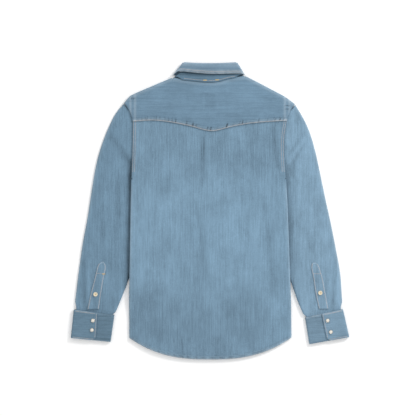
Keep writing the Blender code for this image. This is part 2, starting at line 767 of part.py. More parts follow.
def on_ring(ring, place, back_y, front_y):
    """A point of the flattened collar; place runs from -1 to 1, with 0 at the back."""
    side = -1 if place < 0 else 1
    round_it = abs(place)
    flat = ring.half_width - ring.radius
    lower = 0.0
    front = 0.0
    if round_it <= BACK_END:
        distance = flat * round_it / BACK_END
    elif round_it <= SIDE_END:
        turn = math.pi * (round_it - BACK_END) / (SIDE_END - BACK_END)
        distance = flat + ring.radius * math.sin(turn)
        lower = (1 - math.cos(turn)) / 2
    else:
        front = (round_it - SIDE_END) / (1 - SIDE_END)
        distance = mix(flat, ring.front_end, front)
        lower = 1.0
    x = ring.middle + side * distance
    y = mix(back_y(x), front_y(distance, front), lower)
    z = mix(ring.back_height, ring.front_height, lower)
    return Vector((x, y, z))


COLLAR_PLACES = (spread(-1.0, -SIDE_END, 6) + spread(-SIDE_END, -BACK_END, 5)[1:]
                 + spread(-BACK_END, BACK_END, 9)[1:] + spread(BACK_END, SIDE_END, 5)[1:]
                 + spread(SIDE_END, 1.0, 6)[1:])


def make_collar_stand():
    """Collar stand: the band sewn to the neck, its ends lapped at the front."""
    def seam_back(x):
        off = smooth(0.070, 0.083, abs(x - STAND_SEAM.middle))
        return read(NECK_SEAM, x) + mix(-0.0015, 0.0040, off)

    def seam_front(distance, _front):
        return front_neck_y(distance)

    def top_back(_x):
        return STAND_BACK_Y

    def top_front(distance, _front):
        low = FRONT_NECK_Y + STAND_FRONT_HEIGHT
        share = min(1.0, abs(distance) / STAND_TOP.half_width)
        return low + (STAND_BACK_Y - low) * share ** NECK_POWER

    seam = []
    top = []
    for place in COLLAR_PLACES:
        lift = LAP * smooth(0.93, 0.97, place)
        seam.append(on_ring(STAND_SEAM, place, seam_back, seam_front) + Vector((0, 0, lift)))
        top.append(on_ring(STAND_TOP, place, top_back, top_front) + Vector((0, 0, lift)))
    rows = [[low.lerp(high, share) for low, high in zip(seam, top)] for share in (0, 0.5, 1)]
    cloth("collar_stand", rows)


def make_collar_leaf():
    """Collar leaf: folds over the stand, with a point at each side of the front."""
    def seam_front(distance, _front):
        low = FRONT_NECK_Y + STAND_FRONT_HEIGHT
        share = min(1.0, abs(distance) / STAND_TOP.half_width)
        return low + (STAND_BACK_Y - low) * share ** NECK_POWER - LEAF_LAP

    def seam_back(_x):
        return STAND_BACK_Y - LEAF_LAP

    def roll_back(x):
        return ROLL_Y - 0.004 + ROLL_SIDE_RISE * (x / LEAF_OUTSIDE.half_width) ** 2

    def roll_front(distance, _front):
        low = FRONT_NECK_Y + STAND_FRONT_HEIGHT + 0.003
        share = min(1.0, abs(distance) / LEAF_OUTSIDE.half_width)
        return low + (roll_back(LEAF_OUTSIDE.half_width) - low) * share ** NECK_POWER

    def edge_back(x):
        return read(LEAF_BACK_EDGE, x)

    def edge_front(_distance, front):
        return mix(edge_back(LEAF_EDGE.half_width), COLLAR_POINT_Y, front)

    rows = [[] for _ in range(8)]
    for place in COLLAR_PLACES:
        start = on_ring(LEAF_SEAM, place, seam_back, seam_front)
        inside = on_ring(LEAF_INSIDE, place, roll_back, roll_front)
        outside = on_ring(LEAF_OUTSIDE, place, roll_back, roll_front)
        edge = on_ring(LEAF_EDGE, place, edge_back, edge_front)
        middle = (inside + outside) / 2
        half = (outside - inside) / 2
        up = Vector((0, min(half.length, 0.0042), 0))
        halfway = outside.lerp(edge, 0.5)
        bulge = on_ring(LEAF_MIDDLE, place, edge_back, edge_front)
        halfway.z = mix(halfway.z, bulge.z, 0.8)
        arc = [middle - half * math.cos(turn) + up * math.sin(turn)
               for turn in (math.pi * 0.25, math.pi * 0.5, math.pi * 0.75)]
        for row, point in zip(rows, (start, inside, *arc, outside, halfway, edge)):
            row.append(point)
    cloth("collar_leaf", rows)


# ================================================================ snaps and buttons
def snap_profile(height):
    """Snap cap: a metal rim round a low domed pearl, from the top down."""
    return ((0.0, height), (SNAP_RADIUS * 0.55, height * 0.96), (SNAP_RADIUS * 0.78, height * 0.80),
            (SNAP_RADIUS * 0.95, height * 0.74), (SNAP_RADIUS, height * 0.45),
            (SNAP_RADIUS * 0.94, 0.0), (0.0, 0.0))


def button_profile():
    """Sew-through button: a raised rim round a flat hollow, from the top down."""
    floor = BUTTON_HEIGHT - BUTTON_HOLLOW_DEPTH
    return ((0.0, floor), (BUTTON_HOLLOW, floor), (BUTTON_HOLLOW * 1.2, BUTTON_HEIGHT),
            (BUTTON_RADIUS * 0.92, BUTTON_HEIGHT), (BUTTON_RADIUS, BUTTON_HEIGHT * 0.55),
            (BUTTON_RADIUS * 0.85, 0.0), (0.0, 0.0))


def make_fasteners():
    """Snaps of the front, collar and cuffs, and the sleeve plackets' buttons."""
    flipped = [(radius, FRONT_SNAP_HEIGHT - height)
               for radius, height in reversed(snap_profile(FRONT_SNAP_HEIGHT))]
    for k in range(FRONT_SNAP_COUNT):
        name = f"front_snap_{k + 1}"
        place = (0.0, FRONT_SNAP_TOP_Y - k * FRONT_SNAP_PITCH, 0.0)
        turned(name, flipped, place, material(name, PEARL, 0.25))
    stand_y = FRONT_NECK_Y + STAND_FRONT_HEIGHT / 2
    base = STAND_TOP.front_height - WALL / 2 - GAP - FRONT_SNAP_HEIGHT
    turned("collar_snap", flipped, (0.0, stand_y, base), material("collar_snap", PEARL, 0.25))
    for name, places in CUFF_SNAPS.items():
        for k, (x, y) in enumerate(places):
            title = f"cuff_snap_{name}_{k + 1}"
            place = (x, y, CUFF_UPPER + CUFF_WALL / 2 + GAP)
            turned(title, snap_profile(SNAP_HEIGHT), place, material(title, PEARL, 0.25))
    for name, (x, y) in PLACKET_BUTTONS.items():
        side = SLEEVES[name].side
        title = "placket_button_" + name
        lay = max(sleeve_height(x + dx, y + dy, side, name)
                  for dx in (-BUTTON_RADIUS, 0, BUTTON_RADIUS)
                  for dy in (-BUTTON_RADIUS, 0, BUTTON_RADIUS))
        place = (x, y, lay + LAP + WALL / 2 + GAP)
        turned(title, button_profile(), place, material(title, PEARL, 0.35))


# ================================================================ the shirt
for old in list(bpy.data.objects):
    bpy.data.objects.remove(old)

make_yoke()
make_back()
make_front("front_left", -1)
make_front("front_right", 1)
make_front_placket()
for sleeve_name in SLEEVES:
    make_sleeve(sleeve_name)
    make_sleeve_placket(sleeve_name)
    make_cuff(sleeve_name)
make_collar_stand()
make_collar_leaf()
make_fasteners()
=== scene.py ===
import math
from collections import namedtuple

import bmesh
import bpy
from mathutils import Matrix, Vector, noise


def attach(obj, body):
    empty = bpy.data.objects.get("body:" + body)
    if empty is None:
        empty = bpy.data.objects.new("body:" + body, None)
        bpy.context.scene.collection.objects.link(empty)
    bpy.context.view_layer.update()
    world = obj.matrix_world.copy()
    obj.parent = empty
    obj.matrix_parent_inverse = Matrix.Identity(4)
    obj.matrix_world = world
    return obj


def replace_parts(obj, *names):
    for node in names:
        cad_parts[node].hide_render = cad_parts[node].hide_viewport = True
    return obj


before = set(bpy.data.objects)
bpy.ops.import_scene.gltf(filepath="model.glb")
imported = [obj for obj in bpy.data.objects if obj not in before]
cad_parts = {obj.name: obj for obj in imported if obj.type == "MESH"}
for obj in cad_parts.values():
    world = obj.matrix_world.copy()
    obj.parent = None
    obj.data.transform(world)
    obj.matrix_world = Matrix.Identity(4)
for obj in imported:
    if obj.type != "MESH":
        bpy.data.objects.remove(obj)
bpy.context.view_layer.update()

# ================================================================ back
# One panel of washed mid-blue denim, cut with a shirt-tail hem, gathered a little into
# the yoke's seam, and folded under along both sides to the side seams. Its lengthwise
# yarns are uneven, which gives the cloth its fine streaks.
WALL = 0.0012                     # denim, one layer with its seam allowance
GAP = 0.0003                      # clearance between neighbouring pieces
LAP = WALL + 0.0004               # height of one cloth's middle above the next
FLOOR_LAYER = WALL / 2            # middle of a layer that lies on the surface
FOLD_RISE = 0.0056                # from the under layer to the back at a side fold
SLEEVE_FLAT = 0.0048              # sleeve's upper layer where the body lies on it
BODY_ON_SLEEVE = SLEEVE_FLAT + LAP - FLOOR_LAYER
ARMHOLE_HEIGHT = 0.0098           # back's layer along the armhole
SIDE_WRAP = 0.040                 # back past the side fold, to the side seam
YOKE_LAP = 0.010                  # back tucked under the yoke
SIDE_RADIUS = 0.0035
ARMPIT_Y = 0.080
HEM_Y = -0.400
HEM_RISE = 0.058                  # side of the shirt tail above its lowest point
HEM_POWER = 2.6
HEM_HALF = 0.218
BACK_TOP_Y = 0.240
Side = namedtuple("Side", "y left right")
BODY_SIDES = (
    Side(-0.342, -0.2170, 0.2190),
    Side(-0.241, -0.2175, 0.2175),
    Side(-0.154, -0.2160, 0.2145),
    Side(0.018, -0.2130, 0.2080),
    Side(0.124, -0.2105, 0.2015),
    Side(0.191, -0.2090, 0.2005),
    Side(0.242, -0.2080, 0.2075),
)
Across = namedtuple("Across", "x y")
YOKE_EDGE = (
    Across(-0.208, 0.2400),
    Across(-0.154, 0.2430),
    Across(-0.108, 0.2385),
    Across(-0.054, 0.2280),
    Across(0.004, 0.2145),
    Across(0.059, 0.2265),
    Across(0.108, 0.2350),
    Across(0.159, 0.2395),
    Across(0.208, 0.2425),
)
SHOULDER_LEFT = (
    Across(-0.231, 0.2900),
    Across(-0.216, 0.3080),
    Across(-0.202, 0.3155),
    Across(-0.150, 0.3380),
    Across(-0.100, 0.3590),
)
NECK_SEAM = (
    Across(-0.100, 0.3590),
    Across(-0.081, 0.3550),
    Across(-0.054, 0.3515),
    Across(0.000, 0.3473),
    Across(0.027, 0.3500),
    Across(0.049, 0.3560),
    Across(0.093, 0.3635),
)
SHOULDER_RIGHT = (
    Across(0.093, 0.3635),
    Across(0.1215, 0.3490),
    Across(0.175, 0.3210),
    Across(0.2025, 0.3060),
    Across(0.228, 0.2870),
)
Crown = namedtuple("Crown", "y height")
BACK_CROWN = (
    Crown(-0.400, 0.0078),
    Crown(-0.300, 0.0092),
    Crown(-0.100, 0.0098),
    Crown(0.120, 0.0104),
    Crown(0.240, 0.0102),
    Crown(0.360, 0.0098),
)
Crease = namedtuple("Crease", "x0 y0 x1 y1 depth half_width")
BACK_CREASES = (
    Crease(-0.0140, 0.206, -0.0150, 0.072, 0.0016, 0.009),
    Crease(-0.0430, 0.027, -0.0216, -0.030, 0.0008, 0.008),
    Crease(-0.0216, -0.030, -0.0140, -0.173, 0.0011, 0.010),
    Crease(0.1730, 0.232, 0.1780, 0.170, 0.0016, 0.008),
    Crease(0.1780, 0.170, 0.1920, 0.108, 0.0020, 0.009),
    Crease(0.1485, 0.040, 0.1650, -0.090, 0.0013, 0.012),
    Crease(0.1650, -0.090, 0.1810, -0.243, 0.0011, 0.012),
    Crease(0.0840, 0.094, 0.1130, 0.078, 0.0007, 0.006),
    Crease(-0.1200, 0.150, -0.1500, 0.060, 0.0005, 0.014),
    Crease(0.0900, -0.180, 0.1100, -0.320, 0.0005, 0.016),
    Crease(-0.1300, -0.200, -0.1150, -0.330, 0.0005, 0.016),
    Crease(-0.1836, 0.238, -0.1830, 0.196, 0.0006, 0.004),
    Crease(-0.1566, 0.240, -0.1560, 0.205, 0.0005, 0.004),
    Crease(-0.1296, 0.238, -0.1280, 0.200, 0.0006, 0.004),
    Crease(-0.0783, 0.230, -0.0800, 0.192, 0.0005, 0.004),
    Crease(0.0702, 0.226, 0.0710, 0.190, 0.0006, 0.004),
    Crease(0.0999, 0.231, 0.1010, 0.196, 0.0006, 0.004),
)
WRAP_START_Y = 0.126              # lower end of the armhole's straight part
SleeveShape = namedtuple("SleeveShape", "side outer inner armhole front_armhole")
SLEEVES = {
    "left": SleeveShape(
        side=-1,
        outer=((-0.232, 0.2885), (-0.254, 0.262), (-0.278, 0.213), (-0.297, 0.160),
               (-0.308, 0.116), (-0.319, 0.051), (-0.330, -0.020), (-0.343, -0.090),
               (-0.353, -0.160), (-0.361, -0.225), (-0.366, -0.274)),
        inner=((-0.170, 0.080), (-0.175, 0.020), (-0.183, -0.050), (-0.195, -0.115),
               (-0.217, -0.176), (-0.236, -0.227), (-0.262, -0.289)),
        armhole=((-0.231, 0.290), (-0.220, 0.275), (-0.2125, 0.258), (-0.209, 0.238),
                 (-0.209, 0.191), (-0.2105, 0.130), (-0.196, 0.103), (-0.170, 0.080)),
        front_armhole=((-0.231, 0.290), (-0.221, 0.258), (-0.200, 0.215),
                       (-0.182, 0.165), (-0.170, 0.115), (-0.167, 0.080)),
    ),
    "right": SleeveShape(
        side=1,
        outer=((0.229, 0.2855), (0.243, 0.263), (0.2565, 0.2385), (0.270, 0.206),
               (0.2835, 0.159), (0.297, 0.097), (0.3105, 0.032), (0.324, -0.029),
               (0.3375, -0.0975), (0.3505, -0.170), (0.3545, -0.225), (0.3575, -0.273)),
        inner=((0.162, 0.080), (0.168, 0.020), (0.178, -0.050), (0.193, -0.120),
               (0.2165, -0.184), (0.236, -0.240), (0.259, -0.295)),
        armhole=((0.228, 0.287), (0.218, 0.272), (0.2105, 0.257), (0.207, 0.242),
                 (0.2005, 0.191), (0.2015, 0.130), (0.188, 0.103), (0.162, 0.080)),
        front_armhole=((0.228, 0.287), (0.218, 0.255), (0.196, 0.215),
                       (0.177, 0.165), (0.162, 0.115), (0.158, 0.080)),
    ),
}


def smooth(start, end, value):
    """0 before start, 1 after end, and an even turn between them."""
    share = min(1.0, max(0.0, (value - start) / (end - start)))
    return share * share * (3 - 2 * share)


def mix(a, b, share):
    return a + (b - a) * share


FINE = 5                          # steps of the visible cloth for each large fold


def spread(first, last, count):
    """Evenly spaced values from first to last, fine enough for the cloth's folds."""
    steps = (count - 1) * FINE
    return [mix(first, last, k / steps) for k in range(steps + 1)]


def read(rows, at):
    """A smooth value from rows of (place, value), sorted by place."""
    if at <= rows[0][0]:
        return rows[0][1]
    if at >= rows[-1][0]:
        return rows[-1][1]
    k = next(i for i in range(len(rows) - 1) if rows[i + 1][0] >= at)
    (x0, y0), (x1, y1) = rows[k], rows[k + 1]
    before = rows[max(0, k - 1)]
    after = rows[min(len(rows) - 1, k + 2)]
    slope0 = (y1 - before[1]) / (x1 - before[0])
    slope1 = (after[1] - y0) / (after[0] - x0)
    t = (at - x0) / (x1 - x0)
    width = x1 - x0
    start = (2 * t ** 3 - 3 * t ** 2 + 1) * y0 + (t ** 3 - 2 * t ** 2 + t) * width * slope0
    end = (3 * t ** 2 - 2 * t ** 3) * y1 + (t ** 3 - t ** 2) * width * slope1
    return start + end


def line_through(points, steps=8):
    """A smooth line through plan points, read by its share of the whole length."""
    places = [0.0]
    for a, b in zip(points, points[1:]):
        places.append(places[-1] + math.hypot(b[0] - a[0], b[1] - a[1]))
    xs = list(zip(places, [p[0] for p in points]))
    ys = list(zip(places, [p[1] for p in points]))
    fine = spread(0.0, places[-1], steps * len(points))
    line = [Vector((read(xs, s), read(ys, s))) for s in fine]
    reach = [0.0]
    for a, b in zip(line, line[1:]):
        reach.append(reach[-1] + (b - a).length)

    def at(share):
        want = min(1.0, max(0.0, share)) * reach[-1]
        k = next((i for i in range(len(reach) - 1) if reach[i + 1] >= want), len(reach) - 2)
        part = (want - reach[k]) / (reach[k + 1] - reach[k])
        return line[k].lerp(line[k + 1], part)

    return at


def patch(top, bottom, left, right):
    """A plan surface between four edges: top and bottom run left to right."""
    corners = (top(0), top(1), bottom(0), bottom(1))

    def at(down, over):
        ruled = mix(top(over), bottom(over), down) + mix(left(down), right(down), over)
        flat = mix(mix(corners[0], corners[1], over), mix(corners[2], corners[3], over), down)
        return ruled - flat

    return at


def folded(run, radius, share, wrap, flat_share, turn_share):
    """Where a strip is at a share of its length, when its end is folded under.

    Gives the plan distance from its start, and 0 on the upper layer to 1 on the lower.
    """
    if share <= flat_share:
        return (run - radius) * share / flat_share, 0.0
    if share <= turn_share:
        turn = math.pi * (share - flat_share) / (turn_share - flat_share)
        return run - radius + radius * math.sin(turn), (1 - math.cos(turn)) / 2
    return run - radius - wrap * (share - turn_share) / (1 - turn_share), 1.0


def crease_depth(creases, x, y):
    """How far the soft troughs lower the cloth at a point."""
    depth = 0.0
    for crease in creases:
        run_x = crease.x1 - crease.x0
        run_y = crease.y1 - crease.y0
        run = math.hypot(run_x, run_y)
        share = ((x - crease.x0) * run_x + (y - crease.y0) * run_y) / run ** 2
        if not -0.15 < share < 1.15:
            continue
        away = abs(run_x * (y - crease.y0) - run_y * (x - crease.x0)) / run
        if away > 3 * crease.half_width:
            continue
        ends = smooth(-0.15, 0.2, share) * (1 - smooth(0.8, 1.15, share))
        depth += crease.depth * ends * math.exp(-(away / crease.half_width) ** 2)
    return depth


SIDE_LINES = {
    -1: [(row.y, row.left) for row in BODY_SIDES],
    1: [(row.y, row.right) for row in BODY_SIDES],
}
INNER_LINES = {
    shape.side: sorted((y, x) for x, y in shape.inner) for shape in SLEEVES.values()
}
OUTER_LINES = {
    shape.side: sorted((y, x) for x, y in shape.outer) for shape in SLEEVES.values()
}
FRONT_ARMHOLES = {
    shape.side: sorted((y, x) for x, y in shape.front_armhole) for shape in SLEEVES.values()
}


def body_edge(y, side):
    return read(SIDE_LINES[side], y)


def hem_y(x):
    return HEM_Y + HEM_RISE * (abs(x) / HEM_HALF) ** HEM_POWER


def top_edge_y(x):
    """Shoulder fold and back neck seam, from armhole to armhole."""
    if x < SHOULDER_LEFT[-1].x:
        return read(SHOULDER_LEFT, x)
    if x > SHOULDER_RIGHT[0].x:
        return read(SHOULDER_RIGHT, x)
    return read(NECK_SEAM, x)


def back_height(x, y):
    """Middle of the back's cloth."""
    side = -1 if x < 0 else 1
    out = abs(x) / abs(body_edge(y, side))
    edge = mix(under_height(body_edge(y, side), y) + FOLD_RISE, ARMHOLE_HEIGHT,
               smooth(0.085, 0.135, y))
    height = mix(read(BACK_CROWN, y), edge, smooth(0.62, 1.0, out))
    return height - crease_depth(BACK_CREASES, x, y)


def under_height(x, y):
    """Middle of the layer under the back: on the surface, or on a sleeve."""
    side = -1 if x < 0 else 1
    over_sleeve = (x - read(INNER_LINES[side], y)) * side
    share = smooth(-0.046, -0.012, over_sleeve) * (1 - smooth(0.098, 0.132, y))
    return FLOOR_LAYER + BODY_ON_SLEEVE * share


def back_rows():
    """Back: one panel from the yoke to the tail, folded under along both sides."""
    shares = (spread(0.0, 0.66, 9) + spread(0.66, 0.86, 5)[1:] + spread(0.86, 1.0, 3)[1:])
    signed = [-share for share in reversed(shares[1:])] + shares
    row_ys = (spread(BACK_TOP_Y, WRAP_START_Y, 7) + spread(WRAP_START_Y, ARMPIT_Y, 4)[1:]
              + spread(ARMPIT_Y, -0.3415, 22)[1:])
    corner = hem_y(body_edge(row_ys[-1], 1))
    rows = []
    for edge_y in row_ys:
        down = (BACK_TOP_Y - edge_y) / (BACK_TOP_Y - row_ys[-1])
        folds = edge_y <= ARMPIT_Y
        row = []
        for share in signed:
            side = -1 if share < 0 else 1
            run = abs(body_edge(edge_y, side))
            distance, lower = folded(run, SIDE_RADIUS, abs(share), SIDE_WRAP, 0.66, 0.86)
            if not folds and abs(share) > 0.66:
                row.append(None)
                continue
            if not folds:
                distance = run * abs(share) / 0.66
            x = side * distance
            reach = side * min(distance, run) if lower < 1 else side * run
            y = edge_y
            y += (1 - down) ** 2 * (read(YOKE_EDGE, reach) + YOKE_LAP - BACK_TOP_Y)
            y += down ** 2 * (hem_y(reach) - corner)
            if lower == 1:
                y += down ** 2 * 0.004 * (run - distance) / SIDE_WRAP
            z = mix(back_height(x, y), under_height(x, y), lower)
            row.append((x, y, z))
        rows.append(row)
    return rows


def mottle(x, y, size, seed):
    """Slow uneven change over the cloth, from -1 to 1."""
    return noise.noise(Vector((x / size, y / size, seed)))


def near(distance, width):
    """1 on a line, fading out within a width of it."""
    return math.exp(-(distance / width) ** 2)


def placed(name, work, mat, rounded=True):
    """Turn built faces into a piece in the scene."""
    bmesh.ops.recalc_face_normals(work, faces=work.faces)
    mesh = bpy.data.meshes.new(name)
    work.to_mesh(mesh)
    work.free()
    mesh.materials.append(mat)
    if rounded:
        mesh.shade_smooth()
    obj = bpy.data.objects.new(name, mesh)
    bpy.context.scene.collection.objects.link(obj)
    return obj


def cloth(name, rows, mat, paint, thickness=WALL, ring=False):
    """A wall of cloth through rows of points, with its shaded and worn places painted."""
    work = bmesh.new()
    # per-point brightness: the cloth's own uneven tone together with painted shade, shadow and
    # highlights
    tone_and_painted_shade = work.verts.layers.float.new("tone_and_painted_shade")
    wear = work.verts.layers.float.new("wear")
    grid = []
    for row in rows:
        line = []
        for point in row:
            if point is None:
                line.append(None)
                continue
            vert = work.verts.new(point)
            vert[tone_and_painted_shade], vert[wear] = paint(*point)
            line.append(vert)
        grid.append(line)
    columns = len(grid[0])
    for upper, lower in zip(grid, grid[1:]):
        for k in range(columns if ring else columns - 1):
            after = (k + 1) % columns
            corners = (upper[k], lower[k], lower[after], upper[after])
            if None not in corners:
                work.faces.new(corners)
    obj = placed(name, work, mat)
    wall = obj.modifiers.new("wall", "SOLIDIFY")
    wall.thickness = thickness
    wall.offset = 0.0
    wall.use_rim = True
    return obj


def cut_size(rows, ring=False):
    """Width, length and area of the flat cloth that a grid of points was cut from."""
    def run(line):
        kept = [Vector(point) for point in line if point]
        return sum((b - a).length for a, b in zip(kept, kept[1:]))

    closed = [list(row) + ([row[0]] if ring else []) for row in rows]
    width = max(run(row) for row in closed)
    length = max(run(column) for column in zip(*closed))
    area = 0.0
    for upper, lower in zip(closed, closed[1:]):
        for a, b, c, d in zip(upper, upper[1:], lower, lower[1:]):
            if None in (a, b, c, d):
                continue
            across = Vector(d) - Vector(a)
            back = Vector(b) - Vector(c)
            area += across.cross(back).length / 2
    return width, length, min(area, width * length)


def lay(piece, node, rows, rests_on=(), ring=False):
    """Attach a piece and hide the part of the model that it stands for; the size it was cut to is worked
    out but not kept, and rests_on, what it lies on, is not used.
    """
    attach(piece, "root")
    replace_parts(piece, node)
    width, length, area = cut_size(rows, ring)


def add_node(tree, kind, links=(), **values):
    """A shader node with its settings, and links from (socket, input name) pairs."""
    made = tree.nodes.new(kind)
    for key, value in values.items():
        setattr(made, key, value)
    for socket, name in links:
        tree.links.new(socket, made.inputs[name])
    return made


Grain = namedtuple("Grain", "across along detail")
SLUBS = Grain(900.0, 45.0, 2.0)        # cells per metre: thick places in single yarns
STREAKS = Grain(300.0, 9.0, 2.0)       # groups of yarns of one shade
SPECKS = Grain(520.0, 430.0, 2.0)      # yarn crossings
PATCHES = Grain(22.0, 14.0, 3.0)       # uneven washing
TWILL_SCALE = 320.0
TWILL_LEAN = math.radians(60)
TWILL_WANDER = 1.5
TWILL_SHARE = 0.35                     # twill's part of the relief, beside the slubs
RELIEF_HEIGHT = 0.0003
WEAVE_RELIEF = 0.35


def weave_group():
    """Streaks, twill and mottling of denim, as a brightness and a surface normal."""
    group = bpy.data.node_groups.new("denim weave", "ShaderNodeTree")
    face = group.interface
    face.new_socket("Place", in_out="INPUT", socket_type="NodeSocketVector")
    face.new_socket("Streaks", in_out="INPUT", socket_type="NodeSocketFloat")
    face.new_socket("Relief", in_out="INPUT", socket_type="NodeSocketFloat")
    face.new_socket("Brightness", in_out="OUTPUT", socket_type="NodeSocketFloat")
    face.new_socket("Normal", in_out="OUTPUT", socket_type="NodeSocketVector")
    given = group.nodes.new("NodeGroupInput")
    result = group.nodes.new("NodeGroupOutput")

    def stretched(grain):
        """Noise that is longer one way."""
        scaled = add_node(group, "ShaderNodeMapping", [(given.outputs["Place"], "Vector")])
        scaled.inputs["Scale"].default_value = (grain.across, grain.along, grain.across)
        grains = add_node(group, "ShaderNodeTexNoise", [(scaled.outputs["Vector"], "Vector")])
        grains.inputs["Scale"].default_value = 1.0
        grains.inputs["Detail"].default_value = grain.detail
        return grains.outputs["Fac"]

    def total(first, second, operation, value=None):
        """One arithmetic step on two sockets, or on a socket and a number."""
        step = add_node(group, "ShaderNodeMath", [(first, 0)], operation=operation)
        if value is None:
            group.links.new(second, step.inputs[1])
        else:
            step.inputs[1].default_value = value
        return step.outputs[0]

    slubs = stretched(SLUBS)
    layers = [stretched(grain) for grain in (STREAKS, SPECKS, PATCHES)]
    mixed = slubs
    for layer in layers:
        mixed = total(mixed, layer, "ADD")
    noise_mean = 0.5
    mixed = total(mixed, None, "SUBTRACT", noise_mean * (1 + len(layers)))
    mixed = total(mixed, given.outputs["Streaks"], "MULTIPLY")
    bright = total(mixed, None, "ADD", 1.0)
    group.links.new(bright, result.inputs["Brightness"])
    leaning = add_node(group, "ShaderNodeMapping", [(given.outputs["Place"], "Vector")])
    leaning.inputs["Rotation"].default_value = (0.0, 0.0, TWILL_LEAN)
    twill = add_node(group, "ShaderNodeTexWave", [(leaning.outputs["Vector"], "Vector")])
    twill.inputs["Scale"].default_value = TWILL_SCALE
    twill.inputs["Distortion"].default_value = TWILL_WANDER
    ribs = total(twill.outputs["Fac"], None, "MULTIPLY", TWILL_SHARE)
    height = total(ribs, slubs, "ADD")
    relief = add_node(group, "ShaderNodeBump", [(height, "Height"),
                                                (given.outputs["Relief"], "Strength")])
    relief.inputs["Distance"].default_value = RELIEF_HEIGHT
    group.links.new(relief.outputs["Normal"], result.inputs["Normal"])
    return group


WEAVE = weave_group()
DENIM_ROUGHNESS = 0.92
DENIM_SHEEN = 0.15
WORN = (0.520, 0.600, 0.660)
DYE = 0.89                        # washed cloth, as a share of the named colours


def denim(name, colour, crosswise=False, streaks=0.50):
    """Washed denim: indigo yarns worn pale on edges and ridges, lightened and darkened by the cloth's
    own uneven tone and by painted shade, shadow and highlights.
    """
    mat = bpy.data.materials.new(name)
    mat.use_nodes = True
    tree = mat.node_tree
    shader = tree.nodes["Principled BSDF"]
    shader.inputs["Roughness"].default_value = DENIM_ROUGHNESS
    shader.inputs["Specular IOR Level"].default_value = DENIM_SHEEN
    place = add_node(tree, "ShaderNodeTexCoord")
    turned_place = add_node(tree, "ShaderNodeMapping", [(place.outputs["Object"], "Vector")])
    turned_place.inputs["Rotation"].default_value = (0, 0, math.radians(90 if crosswise else 0))
    weave = add_node(tree, "ShaderNodeGroup", node_tree=WEAVE)
    tree.links.new(turned_place.outputs["Vector"], weave.inputs["Place"])
    weave.inputs["Streaks"].default_value = streaks
    weave.inputs["Relief"].default_value = WEAVE_RELIEF
    # the attribute read here holds the cloth's own uneven tone together with painted shade, shadow and
    # highlights
    tone_and_painted_shade = add_node(tree, "ShaderNodeAttribute", attribute_name="tone_and_painted_shade")
    wear = add_node(tree, "ShaderNodeAttribute", attribute_name="wear")
    bright = add_node(tree, "ShaderNodeMath", [(weave.outputs["Brightness"], 0),
                                               (tone_and_painted_shade.outputs["Fac"], 1)], operation="ADD")
    worn = add_node(tree, "ShaderNodeMix", [(wear.outputs["Fac"], "Factor")], data_type="RGBA")
    worn.inputs["A"].default_value = (*[part * DYE for part in colour], 1.0)
    worn.inputs["B"].default_value = (*WORN, 1.0)
    shaded = add_node(tree, "ShaderNodeHueSaturation", [(worn.outputs["Result"], "Color"),
                                                        (bright.outputs[0], "Value")])
    tree.links.new(shaded.outputs["Color"], shader.inputs["Base Color"])
    tree.links.new(weave.outputs["Normal"], shader.inputs["Normal"])
    return mat


THREAD_ROUGHNESS = 0.8
THREAD_GRAIN = 260.0
THREAD_RANGE = (0.7, 1.25)             # darkest and palest, as shares of its colour


def thread_material(name, colour):
    """Sewing thread, a little uneven along its length."""
    mat = bpy.data.materials.new(name)
    mat.use_nodes = True
    tree = mat.node_tree
    shader = tree.nodes["Principled BSDF"]
    shader.inputs["Roughness"].default_value = THREAD_ROUGHNESS
    place = add_node(tree, "ShaderNodeTexCoord")
    grains = add_node(tree, "ShaderNodeTexNoise", [(place.outputs["Object"], "Vector")])
    grains.inputs["Scale"].default_value = THREAD_GRAIN
    worn = add_node(tree, "ShaderNodeMix", [(grains.outputs["Fac"], "Factor")], data_type="RGBA")
    dark, pale = THREAD_RANGE
    worn.inputs["A"].default_value = (*[part * dark for part in colour], 1.0)
    worn.inputs["B"].default_value = (*[min(1.0, part * pale) for part in colour], 1.0)
    tree.links.new(worn.outputs["Result"], shader.inputs["Base Color"])
    return mat


ECRU = thread_material("ecru thread", (0.470, 0.420, 0.400))
BLUE_THREAD = thread_material("blue thread", (0.230, 0.330, 0.420))
GOLD = thread_material("golden thread", (0.560, 0.400, 0.130))
STITCH_LENGTH = 0.0026
STITCH_GAP = 0.0009
STITCH_WIDTH = 0.0009
STITCH_RISE = 0.0003


def stitches(name, lines, mat, length=STITCH_LENGTH, width=STITCH_WIDTH):
    """Runs of stitches along lines of points on the cloth, as one mesh of short bars."""
    work = bmesh.new()
    for points in lines:
        line = [Vector(point) for point in points]
        reach = [0.0]
        for a, b in zip(line, line[1:]):
            reach.append(reach[-1] + (b - a).length)

        def at(distance):
            k = next((i for i in range(len(reach) - 2) if reach[i + 1] >= distance),
                     len(reach) - 2)
            return line[k].lerp(line[k + 1], (distance - reach[k]) / (reach[k + 1] - reach[k]))

        since = 0.0
        while since + length <= reach[-1]:
            start, middle, end = (at(since + length * share) for share in (0.0, 0.5, 1.0))
            along = end - start
            side = Vector((-along.y, along.x, 0)).normalized() * width / 2
            corners = []
            for place, lift in ((start, 0.1), (middle, 1.0), (end, 0.1)):
                top = place + Vector((0, 0, STITCH_RISE * lift))
                under = place - Vector((0, 0, STITCH_RISE))
                corners.append([work.verts.new(p) for p in
                                (top + side, top - side, under - side, under + side)])
            for first, second in zip(corners, corners[1:]):
                for k in range(4):
                    after = (k + 1) % 4
                    work.faces.new((first[k], second[k], second[after], first[after]))
            work.faces.new(corners[0])
            work.faces.new(corners[-1][::-1])
            since += length + STITCH_GAP
    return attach(placed(name, work, mat, rounded=False), "root")


UPPER_LAYER = 0.0045              # cloth lower than this is on the hidden side
MIDDLE_PALE = 0.09                # brightness against the named colour
TOP_DARK = 0.14
TAIL_DARK = 0.16
TROUGH_PAINTED_SHADE = 62                  # painted shade: brightness lost per metre of a trough's depth
